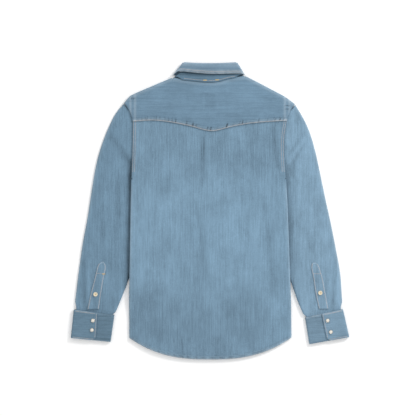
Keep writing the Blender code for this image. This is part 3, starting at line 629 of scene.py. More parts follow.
# painted highlight to the right of each trough and painted shade to its left, from the troughs shifted
# by the two distances below
RIDGE_PAINTED_HIGHLIGHT = 90
RIDGE_BEFORE = 0.007
RIDGE_AFTER = 0.004
# painted shadow on the back just below the yoke's raised edge
UNDER_YOKE_PAINTED_SHADOW = 0.24
# painted shade along the back's lapped edge at the armholes
ARMHOLE_PAINTED_SHADE = 0.16
ROPE_TURNS = 900                  # slanting twists of the hem, radians per metre
ROPE_LEAN = 0.6
ROPE_Y = 0.006
HEM_WEAR = 0.50
SIDE_WEAR = 0.16


def back_paint(x, y, z):
    """Back: paler in the middle, with painted shade in its troughs and a painted highlight beside them,
    a painted shadow under the yoke's edge and painted shade along the armholes, and worn at the hem.
    """
    if z < UPPER_LAYER:
        return 0.0, 0.0
    high = smooth(0.02, 0.16, y)
    low = 1 - smooth(-0.30, -0.14, y)
    # darker at the top and towards the tail; the tail's right side is spared the darkening as painted
    # light from the right
    tone_and_painted_shade = MIDDLE_PALE - TOP_DARK * high - TAIL_DARK * low * (1 - smooth(0.10, 0.20, x))
    # painted shade in the troughs, with a painted highlight to the right of each
    tone_and_painted_shade -= TROUGH_PAINTED_SHADE * crease_depth(BACK_CREASES, x, y)
    tone_and_painted_shade += RIDGE_PAINTED_HIGHLIGHT * (crease_depth(BACK_CREASES, x - RIDGE_BEFORE, y)
                          - crease_depth(BACK_CREASES, x + RIDGE_AFTER, y))
    # painted shadow under the yoke's edge
    tone_and_painted_shade -= UNDER_YOKE_PAINTED_SHADOW * near(read(YOKE_EDGE, x) - y, 0.0030)
    from_side = abs(body_edge(y, -1 if x < 0 else 1) - x)
    # painted shade along the armhole's edge
    tone_and_painted_shade -= ARMHOLE_PAINTED_SHADE * near(from_side, 0.004) * smooth(0.07, 0.10, y)
    tone_and_painted_shade += 0.07 * mottle(x, y, 0.05, 1.0) + 0.05 * mottle(x, y, 0.016, 2.0)
    above_hem = y - hem_y(x)
    rope = 0.5 + 0.5 * math.sin(ROPE_TURNS * (x + ROPE_LEAN * y))
    tone_and_painted_shade += (0.34 * rope - 0.26) * near(above_hem - ROPE_Y, 0.004)
    wear = (HEM_WEAR + 0.4 * mottle(x, y, 0.008, 3.0)) * near(above_hem, 0.0030)
    wear += SIDE_WEAR * near(from_side, 0.003) * (1 - smooth(0.05, 0.09, y))
    return tone_and_painted_shade, max(0.0, wear)


back_grid = back_rows()
back = cloth("back_cloth", back_grid, denim("back denim", (0.186, 0.300, 0.405)), back_paint)
lay(back, "back", back_grid, rests_on=["front_left", "front_right"])
HEM_STITCH = 0.008                # stitching above the hem's edge


def stepped(start, step):
    """Places along a seam, left to right."""
    return [start + step * k for k in range(101)]


def on_back(x, y):
    """Upper face of the back's cloth."""
    return back_height(x, y) + WALL / 2


hem_line = [(x, hem_y(x) + HEM_STITCH) for x in stepped(-0.205, 0.0041)]
stitches("hem_stitching", [[(x, y, on_back(x, y)) for x, y in hem_line]], BLUE_THREAD)

# ================================================================ yoke
# The shoulder piece, of the same denim laid crosswise, over the back's upper edge and
# folded over the shoulders to the front. Its seam is topstitched and puckered, and the
# indigo has stayed dark in the puckers.
SHOULDER_WRAP = 0.035             # yoke past the shoulder fold, to its front seam
SHOULDER_RADIUS = 0.0045
NECK_LEAN = 0.017                 # yoke's front ends towards the middle


def yoke_column(top_x):
    """Lower and upper ends of the yoke's cloth along one line from its edge to the fold."""
    far_left = SHOULDER_LEFT[0].x
    far_right = SHOULDER_RIGHT[-1].x
    share = (top_x - far_left) / (far_right - far_left)
    low_x = mix(body_edge(BACK_TOP_Y, -1), body_edge(BACK_TOP_Y, 1), share)
    return Vector((low_x, read(YOKE_EDGE, low_x))), Vector((top_x, top_edge_y(top_x)))


def yoke_front_edge(top_x):
    """Where that line ends on the front."""
    low, high = yoke_column(top_x)
    past_neck = max(SHOULDER_LEFT[-1].x - top_x, top_x - SHOULDER_RIGHT[0].x)
    lean = NECK_LEAN * (1 - smooth(0.0, 0.060, past_neck)) * (1 if top_x < 0 else -1)
    end = high - (high - low).normalized() * (SHOULDER_RADIUS + SHOULDER_WRAP)
    return end.x + lean, end.y


YOKE_FRONT_SEAM = {
    -1: [yoke_front_edge(x) for x in spread(SHOULDER_LEFT[0].x, SHOULDER_LEFT[-1].x - 0.005, 7)],
    1: [yoke_front_edge(x) for x in spread(SHOULDER_RIGHT[0].x + 0.005, SHOULDER_RIGHT[-1].x, 7)],
}


def yoke_rows():
    """Yoke: covers the shoulders, and folds over them to its seams on the front."""
    far_left = SHOULDER_LEFT[0].x
    far_right = SHOULDER_RIGHT[-1].x
    neck_left = SHOULDER_LEFT[-1].x
    neck_right = SHOULDER_RIGHT[0].x
    tops = (spread(far_left, neck_left - 0.0055, 8)
            + [neck_left - 0.0022]
            + spread(neck_left + 0.001, neck_right - 0.001, 9)
            + [neck_right + 0.0022]
            + spread(neck_right + 0.0055, far_right, 8))
    columns = []
    for top_x in tops:
        share = (top_x - far_left) / (far_right - far_left)
        low, high = yoke_column(top_x)
        past_neck = max(neck_left - top_x, top_x - neck_right)
        folds = past_neck > 0
        run = (high - low).length
        along = (high - low) / run
        bow = 0.004 * (1 - smooth(0.0, 0.05, min(share, 1 - share)))
        column = []
        lean = yoke_front_edge(top_x)[0] - (high - along * (SHOULDER_RADIUS + SHOULDER_WRAP)).x
        for part in spread(0.0, 1.0, 9):
            distance, lower = folded(run, SHOULDER_RADIUS, part, SHOULDER_WRAP, 0.5, 0.8)
            if not folds and part > 0.5:
                column.append(None)
                continue
            if not folds:
                distance = run * part / 0.5
            place = low + along * distance
            rise = math.sin(math.pi * min(1.0, distance / run)) * bow
            place.x += rise if top_x < 0 else -rise
            if lower == 1:
                place.x += lean * (run - distance) / SHOULDER_WRAP
            upper_z = back_height(place.x, place.y) + LAP
            column.append((place.x, place.y, mix(upper_z, FLOOR_LAYER + LAP, lower)))
        columns.append(column)
    return columns


LABEL_BOX = (-0.0155, 0.0180, 0.272, 0.321)    # left, right, low and high


PUCKER_CELLS = 210                # per metre of seam
PUCKER_GAIN = 1.7
PUCKER_DARK = 0.95
PUCKER_Y = 0.0065                 # puckers above the yoke's edge
EDGE_WEAR = 0.45
FOLD_WEAR = 0.16
LABEL_PALE = 0.06
LABEL_DARK = 0.07


def puckers(along, seed):
    """Irregular dark dots along a seam, about 10 mm apart."""
    return max(0.0, noise.noise(Vector((along * PUCKER_CELLS, seed, 0.0)))) * PUCKER_GAIN


def yoke_paint(x, y, z):
    """Yoke: paler towards the right as painted light, dark puckers above its seam, worn edges, and a
    faint print of the neck label.
    """
    if z < UPPER_LAYER:
        return 0.0, 0.0
    above = y - read(YOKE_EDGE, x)
    # painted light: the yoke grows paler towards the right, where the light comes from
    tone_and_painted_shade = 0.05 * smooth(-0.05, 0.15, x)
    tone_and_painted_shade -= PUCKER_DARK * puckers(x, 5.0) * near(above - PUCKER_Y, 0.0042)
    tone_and_painted_shade -= 0.10 * near(above - 0.008, 0.006)
    wear = (EDGE_WEAR + 0.4 * mottle(x, y, 0.012, 4.0)) * near(above - 0.001, 0.0030)
    below_fold = top_edge_y(x) - y
    wear += FOLD_WEAR * near(below_fold - 0.004, 0.004)
    tone_and_painted_shade += 0.06 * mottle(x, y, 0.04, 6.0) + 0.05 * mottle(x, y, 0.013, 7.0)
    left, right, low, high = LABEL_BOX
    inside = min(x - left, right - x, y - low, high - y)
    tone_and_painted_shade += LABEL_PALE * near(inside, 0.0025) - LABEL_DARK * smooth(0.001, 0.004, inside)
    for side in (-1, 1):
        seam = abs(x - body_edge(y, side))
        tone_and_painted_shade -= 0.60 * near(seam - 0.001, 0.004) * puckers(y, 9.0 + side)
        wear += 0.22 * near(seam - 0.006, 0.003)
    return tone_and_painted_shade, max(0.0, wear)


yoke_grid = yoke_rows()
yoke_denim = denim("yoke denim", (0.160, 0.262, 0.358), crosswise=True, streaks=0.38)
yoke = cloth("yoke_cloth", yoke_grid, yoke_denim, yoke_paint)
lay(yoke, "yoke", yoke_grid, rests_on=["back"])


def on_yoke(x, y):
    """Upper face of the yoke's cloth."""
    return back_height(x, y) + LAP + WALL / 2


for title, inset, thread in (("yoke_seam_stitching", 0.0016, ECRU),
                             ("yoke_second_stitching", 0.0072, BLUE_THREAD)):
    seam_line = [(x, read(YOKE_EDGE, x) + inset) for x in stepped(-0.203, 0.00406)]
    stitches(title, [[(x, y, on_yoke(x, y)) for x, y in seam_line]], thread)
ARMHOLE_STITCHES = (0.0028, 0.0080)    # two rows, in from the armhole's edge
ARMHOLE_STITCH_Y = 0.105
ARMHOLE_STEP = 0.0024
armhole_lines = []
for side in (-1, 1):
    for inset in ARMHOLE_STITCHES:
        line = []
        for k in range(60):
            y = ARMHOLE_STITCH_Y + k * ARMHOLE_STEP
            x = body_edge(y, side) - side * inset
            z = on_yoke(x, y) if y > read(YOKE_EDGE, x) + 0.001 else on_back(x, y)
            line.append((x, y, z))
        armhole_lines.append(line)
stitches("armhole_stitching", armhole_lines, ECRU)

# ================================================================ fronts and placket
# Two front panels, left over right, lying face down on the surface, with the snap
# placket on the left one. Hidden under the back.
FRONT_LIFT = 0.0035               # front edge over the placket, and neck over the collar
FRONT_LAP = LAP + 0.0003          # right front above the left one
SLEEVE_TUCK = 0.008               # sleeve under the armhole edge, and in the cuff
FRONT_OVERLAP = 0.016             # each front past the middle line
PLACKET_HALF = 0.016
FRONT_NECK_Y = 0.290
NECK_POWER = 6.0
FRONT_HEM_Y = -0.395
PLACKET_HEIGHT = FLOOR_LAYER + FRONT_LIFT - LAP
Ring = namedtuple("Ring", "middle half_width front_end radius back_height front_height")
STAND_SEAM = Ring(-0.0035, 0.0920, -0.014, 0.0040, 0.0132, 0.0057)


def front_height(x, y, side):
    """Middle of a front: raised over sleeves, placket, collar and the yoke's seam."""
    on_placket = 1 - smooth(0.022, 0.050, abs(x))
    on_collar = (1 - smooth(0.092, 0.122, abs(x))) * smooth(0.215, 0.246, y)
    yoke_seam = read(YOKE_FRONT_SEAM[side], x)
    on_yoke = 2 * LAP * smooth(yoke_seam - 0.024, yoke_seam - 0.008, y)
    from_armhole = (read(FRONT_ARMHOLES[side], y) - x) * side
    on_seam = LAP * (1 - smooth(0.018, 0.038, from_armhole)) * smooth(0.085, 0.115, y)
    lift = max(FRONT_LIFT * on_placket, FRONT_LIFT * on_collar, on_yoke, on_seam)
    height = max(under_height(x, y), FLOOR_LAYER + lift)
    if side > 0:
        height += FRONT_LAP * (1 - smooth(0.020, 0.050, x))
    return height


def front_neck_y(x):
    """Neck seam on the front, x measured from the middle."""
    half = STAND_SEAM.half_width
    side_y = top_edge_y(-half)
    return FRONT_NECK_Y + (side_y - FRONT_NECK_Y) * min(1.0, abs(x) / half) ** NECK_POWER


def front_rows(name, side):
    """Front: from the yoke's seam and the neck down to the tail, face down."""
    shape = SLEEVES[name.split("_")[1]]

    def side_seam(y):
        """Where the back's folded edge meets this front."""
        return body_edge(y, side) - side * (SIDE_RADIUS + SIDE_WRAP + 4 * GAP)

    outer = [Vector(place) for place in shape.front_armhole[1:-1]]
    outer += [Vector((side_seam(y), y)) for y in (ARMPIT_Y, -0.010, -0.120, -0.230, -0.338)]
    outer_line = line_through(outer)
    seam = YOKE_FRONT_SEAM[side]
    corner_x = (seam[-1] if side < 0 else seam[0])[0]
    top = [outer[0]]
    for share in (0.3, 0.6, 0.9):
        x = mix(outer[0].x, corner_x, share)
        top.append(Vector((x, read(seam, x) + SLEEVE_TUCK)))
    for share in (0.98, 0.9, 0.75, 0.5, 0.25, 0.0):
        x = corner_x * share
        under_stand = smooth(0.050, 0.066, abs(x))
        past = mix(-8 * GAP, 0.003, under_stand)
        top.append(Vector((x, front_neck_y(x - STAND_SEAM.middle) + past)))
    top.append(Vector((-side * FRONT_OVERLAP, top[-1].y)))
    top_line = line_through(top)
    inner_line = line_through([top_line(1), Vector((-side * FRONT_OVERLAP, FRONT_HEM_Y))])
    hem = []
    for share in spread(1.0, 0.0, 7):
        x = outer[-1].x * share
        hem.append(Vector((x, FRONT_HEM_Y + 0.057 * share ** HEM_POWER)))
    hem.append(Vector((-side * FRONT_OVERLAP, FRONT_HEM_Y)))
    panel = patch(top_line, line_through(hem), outer_line, inner_line)
    rows = []
    for down in spread(0.0, 0.08, 3) + spread(0.08, 1.0, 12)[1:]:
        row = []
        for over in spread(0.0, 1.0, 12):
            place = panel(down, over)
            row.append((place.x, place.y, front_height(place.x, place.y, side)))
        rows.append(row)
    return rows


def front_placket_rows():
    """Placket: the band of the left front that the snaps go through, on its outside."""
    rows = []
    for y in spread(FRONT_NECK_Y - 0.006, FRONT_HEM_Y + 0.002, 15):
        rows.append([(x, y, PLACKET_HEIGHT) for x in (-PLACKET_HALF, 0.0, PLACKET_HALF)])
    return rows


def plain_paint(x, y, z):
    """Cloth with only the slow change of washed denim."""
    return 0.06 * mottle(x, y, 0.05, 11.0) + 0.04 * mottle(x, y, 0.015, 12.0), 0.0


front_denim = denim("front denim", (0.186, 0.300, 0.405))
for name, side in (("front_left", -1), ("front_right", 1)):
    front_grid = front_rows(name, side)
    front = cloth(name + "_cloth", front_grid, front_denim, plain_paint)
    lay(front, name, front_grid)
placket_grid = front_placket_rows()
front_placket = cloth("front_placket_cloth", placket_grid, front_denim, plain_paint)
lay(front_placket, "front_placket", placket_grid)

# ================================================================ sleeves
# One tube of denim each, set into the armhole and tucked into the cuff without its
# pleats, with sharp folds where it bends away from the shoulder.
SLEEVE_CROWN = 0.0034
SLEEVE_CREASES = {
    "left": (
        Crease(-0.270, 0.2075, -0.243, 0.167, 0.0020, 0.009),
        Crease(-0.243, 0.167, -0.2106, 0.124, 0.0026, 0.009),
        Crease(-0.3426, -0.131, -0.3360, -0.267, 0.0020, 0.007),
        Crease(-0.2350, 0.060, -0.2520, -0.080, 0.0008, 0.012),
        Crease(-0.2800, -0.020, -0.3000, -0.110, 0.0006, 0.012),
    ),
    "right": (
        Crease(0.2350, 0.264, 0.2350, 0.2426, 0.0010, 0.004),
        Crease(0.2590, 0.196, 0.2430, 0.180, -0.0010, 0.006),
        Crease(0.2430, 0.180, 0.2080, 0.129, -0.0014, 0.006),
        Crease(0.2430, 0.191, 0.2120, 0.148, 0.0022, 0.008),
        Crease(0.2500, 0.175, 0.2268, 0.137, 0.0014, 0.007),
        Crease(0.2268, 0.137, 0.2187, 0.094, 0.0016, 0.008),
        Crease(0.3350, -0.125, 0.3320, -0.267, 0.0020, 0.007),
        Crease(0.2500, 0.020, 0.2700, -0.110, 0.0007, 0.012),
    ),
}


def sleeve_height(x, y, side, name):
    """Middle of a sleeve's upper layer."""
    outer = read(OUTER_LINES[side], y)
    inner = read(INNER_LINES[side], min(y, ARMPIT_Y))
    over = min(1.0, max(0.0, (x - outer) / (inner - outer)))
    outside = (x - body_edge(min(y, BODY_SIDES[-1].y), side)) * side
    crown = SLEEVE_CROWN * smooth(0.0, 0.25, over) * smooth(0.0, 0.035, outside)
    height = SLEEVE_FLAT + crown
    seam = mix(SLEEVE_FLAT, back_height(x, y) - LAP, smooth(0.108, 0.152, y))
    seam += LAP * smooth(BACK_TOP_Y + YOKE_LAP, SHOULDER_LEFT[0].y, y)
    near_seam = 1 - smooth(0.004, 0.045, outside)
    height = mix(height, seam, near_seam * smooth(0.085, 0.110, y))
    return height - crease_depth(SLEEVE_CREASES[name], x, y)


WRIST_BOTTOM = 0.0027             # sleeve's two layers where they are in the cuff
WRIST_TOP = 0.0056
WRIST_INSET = 0.0050


def sleeve_rows(name):
    """Sleeve: a flattened tube from the armhole into the cuff."""
    shape = SLEEVES[name]
    side = shape.side
    outer_line = line_through(shape.outer)
    inner_line = line_through(shape.inner)
    seam_line = line_through(shape.armhole)
    front_line = line_through(shape.front_armhole)
    wrist_line = line_through((shape.outer[-1], shape.inner[-1]))

    def armhole(share):
        """Armhole seam, moved in under the body except at its two ends."""
        here = seam_line(share)
        ahead = seam_line(min(1.0, share + 0.02)) - seam_line(max(0.0, share - 0.02))
        inward = Vector((-ahead.y, ahead.x)).normalized() * (1 if side < 0 else -1)
        tuck = SLEEVE_TUCK * smooth(0.05, 0.14, share) * (1 - smooth(0.86, 0.98, share))
        return here + inward * (tuck - 4 * GAP)

    def front_armhole(share):
        """The same seam on the lower layer, where the sleeve runs under the front."""
        here = front_line(share)
        tuck = SLEEVE_TUCK * smooth(0.05, 0.14, share) * (1 - smooth(0.86, 0.98, share))
        return here + Vector((side * (4 * GAP - tuck), 0.0))

    upper = patch(armhole, wrist_line, outer_line, inner_line)
    lower = patch(front_armhole, wrist_line, outer_line, inner_line)
    downs = spread(0.0, 0.09, 3) + spread(0.09, 0.94, 14)[1:] + spread(0.94, 1.0, 4)[1:]
    rows = []
    for down in downs:
        width = (upper(down, 1) - upper(down, 0)).length
        tucked = smooth(0.948, 0.978, down)
        inset = WRIST_INSET * tucked / width
        radius = mix(0.0030, 0.0016, tucked) / width
        row = []
        over_shares = spread(radius, 1 - radius, 8)
        for over in over_shares:
            place = upper(down, mix(inset, 1 - inset, over))
            z = mix(sleeve_height(place.x, place.y, side, name), WRIST_TOP, tucked)
            row.append((place, z))
        for angle in (0.25, 0.5, 0.75):
            row.append((1, math.pi * angle))
        under_shares = spread(1 - radius, radius, 5)
        for over in under_shares:
            place = lower(down, mix(inset, 1 - inset, over))
            row.append((place, mix(FLOOR_LAYER, WRIST_BOTTOM, tucked)))
        for angle in (0.75, 0.5, 0.25):
            row.append((0, math.pi * angle))
        ends = {0: row[0], 1: row[len(over_shares) - 1]}
        first_under = len(over_shares) + 3
        bottoms = {0: row[first_under + len(under_shares) - 1], 1: row[first_under]}
        points = []
        for first, second in row:
            if isinstance(first, Vector):
                points.append((first.x, first.y, second))
                continue
            above, height = ends[first]
            below, base = bottoms[first]
            edge = mix(upper(down, mix(inset, 1 - inset, first)),
                       lower(down, mix(inset, 1 - inset, first)), 0.5)
            drop = (1 - math.cos(second)) / 2
            start = above.lerp(below, drop)
            place = start.lerp(edge, math.sin(second))
            points.append((place.x, place.y, mix(height, base, drop)))
        rows.append(points)
    return rows


# painted light: one denim, given a darker colour on the left sleeve and a paler one on the right, where
# the light comes from
SLEEVE_COLOURS_WITH_PAINTED_LIGHT = {"left": (0.172, 0.282, 0.384), "right": (0.214, 0.338, 0.452)}


SLEEVE_UPPER_LAYER = 0.0035
FOLD_PAINTED_SHADE = 105                   # painted shade: brightness lost per metre of a fold's depth, and painted highlight on ridges of negative depth
# painted highlight to the right of each fold, per metre of its depth
FOLD_PAINTED_HIGHLIGHT = 50
FOLD_HIGHLIGHT_SHIFT = 0.010               # painted highlight beside a fold: its distance from the fold's middle
BODY_SHADOW = {"left": 0.62, "right": 0.30}
BODY_SHADOW_WIDTH = 0.020
SLEEVE_EDGE_WEAR = 0.22


def sleeve_paint(name):
    """Painter for one sleeve: painted shade in its folds with painted highlights, a painted shadow
    beside the body's edge, and painted shade along the armhole's lapped edge.
    """
    side = SLEEVES[name].side

    def paint(x, y, z):
        if z < SLEEVE_UPPER_LAYER:
            return 0.0, 0.0
        # painted shade in the folds and a painted highlight to the right of each
        tone_and_painted_shade = -FOLD_PAINTED_SHADE * crease_depth(SLEEVE_CREASES[name], x, y)
        tone_and_painted_shade += FOLD_PAINTED_HIGHLIGHT * crease_depth(SLEEVE_CREASES[name], x - FOLD_HIGHLIGHT_SHIFT, y)
        beside = (x - body_edge(min(y, BODY_SIDES[-1].y), side)) * side
        shadow = 1 - smooth(0.0, BODY_SHADOW_WIDTH, beside)
        tone_and_painted_shade -= BODY_SHADOW[name] * shadow * (1 - smooth(0.10, 0.15, y))
        # painted shade along the body's lapped edge at the armhole
        tone_and_painted_shade -= 0.20 * near(beside, 0.004) * smooth(0.10, 0.14, y)
        tone_and_painted_shade += 0.07 * mottle(x, y, 0.04, 20.0 + side) + 0.05 * mottle(x, y, 0.014, 22.0)
        outer = abs(x - read(OUTER_LINES[side], y))
        return tone_and_painted_shade, SLEEVE_EDGE_WEAR * near(outer, 0.003)

    return paint


for name, colour in SLEEVE_COLOURS_WITH_PAINTED_LIGHT.items():
    sleeve_grid = sleeve_rows(name)
    sleeve = cloth(f"sleeve_{name}_cloth", sleeve_grid, denim("sleeve denim " + name, colour),
                   sleeve_paint(name), ring=True)
    lay(sleeve, "sleeve_" + name, sleeve_grid, ring=True)

# ================================================================ sleeve plackets
# A pointed band over the slit above each cuff, topstitched round its edge and across
# under its point, with a golden bar tack.
PlacketRow = namedtuple("PlacketRow", "y outer inner")
SLEEVE_PLACKETS = {
    "left": (
        PlacketRow(-0.1365, -0.2905, -0.2870),
        PlacketRow(-0.1440, -0.3005, -0.2815),
        PlacketRow(-0.1530, -0.3040, -0.2800),
        PlacketRow(-0.1810, -0.3105, -0.2860),
        PlacketRow(-0.2240, -0.3215, -0.2930),
        PlacketRow(-0.2650, -0.3300, -0.2990),
    ),
    "right": (
        PlacketRow(-0.1385, 0.2830, 0.2795),
        PlacketRow(-0.1440, 0.2905, 0.2735),
        PlacketRow(-0.1530, 0.2950, 0.2725),
        PlacketRow(-0.1815, 0.3035, 0.2780),
        PlacketRow(-0.2190, 0.3105, 0.2835),
        PlacketRow(-0.2640, 0.3190, 0.2930),
    ),
}


def sleeve_placket_rows(name):
    """Sleeve placket: a pointed band over the slit, made on the sleeve's own cloth."""
    side = SLEEVES[name].side
    table = sorted(SLEEVE_PLACKETS[name])
    outer = [(row.y, row.outer) for row in table]
    inner = [(row.y, row.inner) for row in table]
    ys = [table[-1].y, table[-2].y, table[-3].y] + spread(table[-3].y, table[0].y, 8)[1:]
    rows = []
    for y in ys:
        row = []
        for over in spread(0.0, 1.0, 3):
            x = mix(read(outer, y), read(inner, y), over)
            row.append((x, y, sleeve_height(x, y, side, name) + LAP))
        rows.append(row)
    return rows


# painted light: one denim, given a darker colour on the left placket and a paler one on the right, where
# the light comes from
PLACKET_COLOURS_WITH_PAINTED_LIGHT = {"left": (0.168, 0.276, 0.376), "right": (0.214, 0.338, 0.452)}


PLACKET_EDGE_WEAR = 0.35
PLACKET_STITCH = 0.0022           # stitching in from the band's edge
CROSS_STITCH_ROW = 38             # where the stitching crosses, of the 50 steps along


def placket_paint(name):
    """Painter for one sleeve placket: paler, worn edges."""
    table = sorted(SLEEVE_PLACKETS[name])
    outer = [(row.y, row.outer) for row in table]
    inner = [(row.y, row.inner) for row in table]

    def paint(x, y, z):
        edge = min(abs(x - read(outer, y)), abs(x - read(inner, y)))
        return 0.05 * mottle(x, y, 0.015, 31.0), PLACKET_EDGE_WEAR * near(edge, 0.0018)

    return paint


def on_placket(x, y, side, name):
    """Upper face of a sleeve placket's band."""
    return sleeve_height(x, y, side, name) + LAP + WALL / 2


for name, rows_of in SLEEVE_PLACKETS.items():
    side = SLEEVES[name].side
    grid = sleeve_placket_rows(name)
    band_denim = denim("placket denim " + name, PLACKET_COLOURS_WITH_PAINTED_LIGHT[name])
    placket = cloth(f"sleeve_placket_{name}_cloth", grid, band_denim, placket_paint(name))
    lay(placket, "sleeve_placket_" + name, grid, rests_on=["sleeve_" + name])
    table = sorted(rows_of)
    runs = []
    for column, inward in ((1, -side), (2, side)):
        edge = [(row.y, row[column]) for row in table]
        line = []
        for k in range(50):
            y = mix(table[0].y + 0.002, table[-1].y - 0.004, k / 49)
            x = read(edge, y) + inward * PLACKET_STITCH
            line.append((x, y, on_placket(x, y, side, name)))
        runs.append(line)
    (start, y, _), (end, _, _) = runs[0][CROSS_STITCH_ROW], runs[1][CROSS_STITCH_ROW]
    cross = [mix(start, end, k / 8) for k in range(9)]
    runs.append([(x, y, on_placket(x, y, side, name)) for x in cross])
    stitches("placket_stitching_" + name, runs, ECRU)

# ================================================================ cuffs
# A stiff, folded band round each wrist, its snap end lapped over the other, edge
# stitched all round.
CUFF_WALL = 0.0016                # two layers with a stiffener
CuffShape = namedtuple("CuffShape", "outer_top outer_bottom inner_top inner_bottom edge_top edge_bottom")
CUFFS = {
    "left": CuffShape((-0.3665, -0.2660), (-0.3745, -0.3425), (-0.2585, -0.2805),
                      (-0.2690, -0.3530), 0.59, 0.64),
    "right": CuffShape((0.3575, -0.2650), (0.3745, -0.3400), (0.2570, -0.2870),
                       (0.2685, -0.3590), 0.565, 0.56),
}
CUFF_UPPER = 0.0097               # end with the snaps
CUFF_UNDER = 0.0075               # end that goes under it
CUFF_LOWER = CUFF_WALL / 2
CUFF_UNDERLAP = 0.34              # share of the width that lies double
CUFF_CORNER = 0.014
CUFF_OUTER_RADIUS = 0.0042
CUFF_INNER_RADIUS = 0.0034


def cuff_rows(name):
    """Cuff: a stiff band round the wrist, its snap end over its other end."""
    shape = CUFFS[name]
    corners = [Vector(pair) for pair in shape[:4]]
    outer_top, outer_bottom, inner_top, inner_bottom = corners
    rows = []
    for down in spread(0.0, 0.82, 3) + spread(0.82, 1.0, 3)[1:]:
        outer = outer_top.lerp(outer_bottom, down)
        inner = inner_top.lerp(inner_bottom, down)
        width = (inner - outer).length
        height = (outer_bottom - outer_top).length
        edge = mix(shape.edge_top, shape.edge_bottom, down)
        into = max(0.0, CUFF_CORNER - (1 - down) * height)
        edge -= (CUFF_CORNER - math.sqrt(CUFF_CORNER ** 2 - into ** 2)) / width
        out = CUFF_OUTER_RADIUS / width
        back = CUFF_INNER_RADIUS / width
        row = [(over, CUFF_UPPER) for over in spread(edge, out, 6)]
        for angle in (0.125, 0.25, 0.375, 0.5, 0.625, 0.75, 0.875):
            turn = math.pi * angle
            row.append((out - out * math.sin(turn),
                        mix(CUFF_UPPER, CUFF_LOWER, (1 - math.cos(turn)) / 2)))
        row += [(over, CUFF_LOWER) for over in spread(out, 1 - back, 4)]
        for angle in (0.125, 0.25, 0.375, 0.5, 0.625, 0.75, 0.875):
            turn = math.pi * angle
            row.append((1 - back + back * math.sin(turn),
                        mix(CUFF_LOWER, CUFF_UNDER, (1 - math.cos(turn)) / 2)))
        row += [(over, CUFF_UNDER) for over in spread(1 - back, CUFF_UNDERLAP, 5)]
        rows.append([(*outer.lerp(inner, over), z) for over, z in row])
    return rows


# painted light: one denim, given a darker colour on the left cuff and a paler one on the right, where
# the light comes from
CUFF_COLOURS_WITH_PAINTED_LIGHT = {"left": (0.150, 0.246, 0.330), "right": (0.208, 0.324, 0.430)}


CUFF_EDGE_WEAR = 0.30
CUFF_STITCH_DARK = 0.08
CUFF_STITCH_IN = 0.006
CUFF_UNDER_DARK = 0.12
CUFF_STITCH_ROWS = (0.045, 0.955)      # shares of the cuff's height
CUFF_STITCH_END = 0.05                 # share of its width left at each end
CUFF_LAP_STITCH = (0.025, 0.035)       # in from the lapped edge, top and bottom


def cuff_paint(name):
    """Painter for one cuff: pale worn edges, and shade on the end that goes under."""
    outer_top, outer_bottom = [Vector(place) for place in CUFFS[name][:2]]
    side_line = outer_bottom - outer_top

    def paint(x, y, z):
        down = (Vector((x, y)) - outer_top).dot(side_line) / side_line.length_squared
        edge = min(abs(down), abs(1 - down)) * side_line.length
        wear = (CUFF_EDGE_WEAR + 0.25 * mottle(x, y, 0.01, 41.0)) * near(edge, 0.002)
        tone_and_painted_shade = -CUFF_STITCH_DARK * near(edge - CUFF_STITCH_IN, 0.003)
        tone_and_painted_shade += 0.06 * mottle(x, y, 0.014, 42.0)
        if z < CUFF_UPPER - 0.001:
            tone_and_painted_shade -= CUFF_UNDER_DARK
        return tone_and_painted_shade, max(0.0, wear)

    return paint


for name, shape in CUFFS.items():
    grid = cuff_rows(name)
    cuff_denim = denim("cuff denim " + name, CUFF_COLOURS_WITH_PAINTED_LIGHT[name], crosswise=True, streaks=0.42)
    cuff = cloth(f"cuff_{name}_cloth", grid, cuff_denim, cuff_paint(name), thickness=CUFF_WALL)
    lay(cuff, "cuff_" + name, grid)
    outer_top, outer_bottom, inner_top, inner_bottom = [Vector(p) for p in shape[:4]]
    ends = []
    for down in CUFF_STITCH_ROWS:
        start = outer_top.lerp(outer_bottom, down)
        end = inner_top.lerp(inner_bottom, down)
        last = mix(shape.edge_top, shape.edge_bottom, down) - CUFF_STITCH_END
        ends.append((start, end, CUFF_STITCH_END, last))
    lap_top = outer_top.lerp(inner_top, shape.edge_top - CUFF_LAP_STITCH[0])
    lap_bottom = outer_bottom.lerp(inner_bottom, shape.edge_bottom - CUFF_LAP_STITCH[1])
    ends.append((lap_top, lap_bottom, CUFF_STITCH_END, 0.90))
    runs = [[(*start.lerp(end, mix(first, last, k / 20)), CUFF_UPPER + CUFF_WALL / 2)
             for k in range(21)] for start, end, first, last in ends]
    stitches("cuff_stitching_" + name, runs, ECRU)

# ================================================================ collar
# A stand round the neck and a leaf folded over it, its points lying under the fronts'
# side. The leaf's edge is worn almost white over its topstitching.
STAND_TOP = Ring(-0.0020, 0.0722, -0.014, 0.0020, 0.0062, 0.0041)
LEAF_SEAM = Ring(-0.0020, 0.0800, 0.007, 0.0038, 0.0098, 0.0023)
LEAF_INSIDE = Ring(-0.0005, 0.0722, 0.008, 0.0030, 0.0082, 0.0023)
LEAF_OUTSIDE = Ring(-0.0002, 0.0745, 0.009, 0.0060, 0.0140, 0.0006)
LEAF_MIDDLE = Ring(-0.0018, 0.0870, 0.043, 0.0062, 0.0146, 0.0006)
LEAF_EDGE = Ring(-0.0035, 0.0965, 0.076, 0.0062, 0.0138, 0.0006)
BACK_END = 0.40                   # ring share: middle of the back to the side fold
SIDE_END = 0.58                   # ring share: end of the side fold


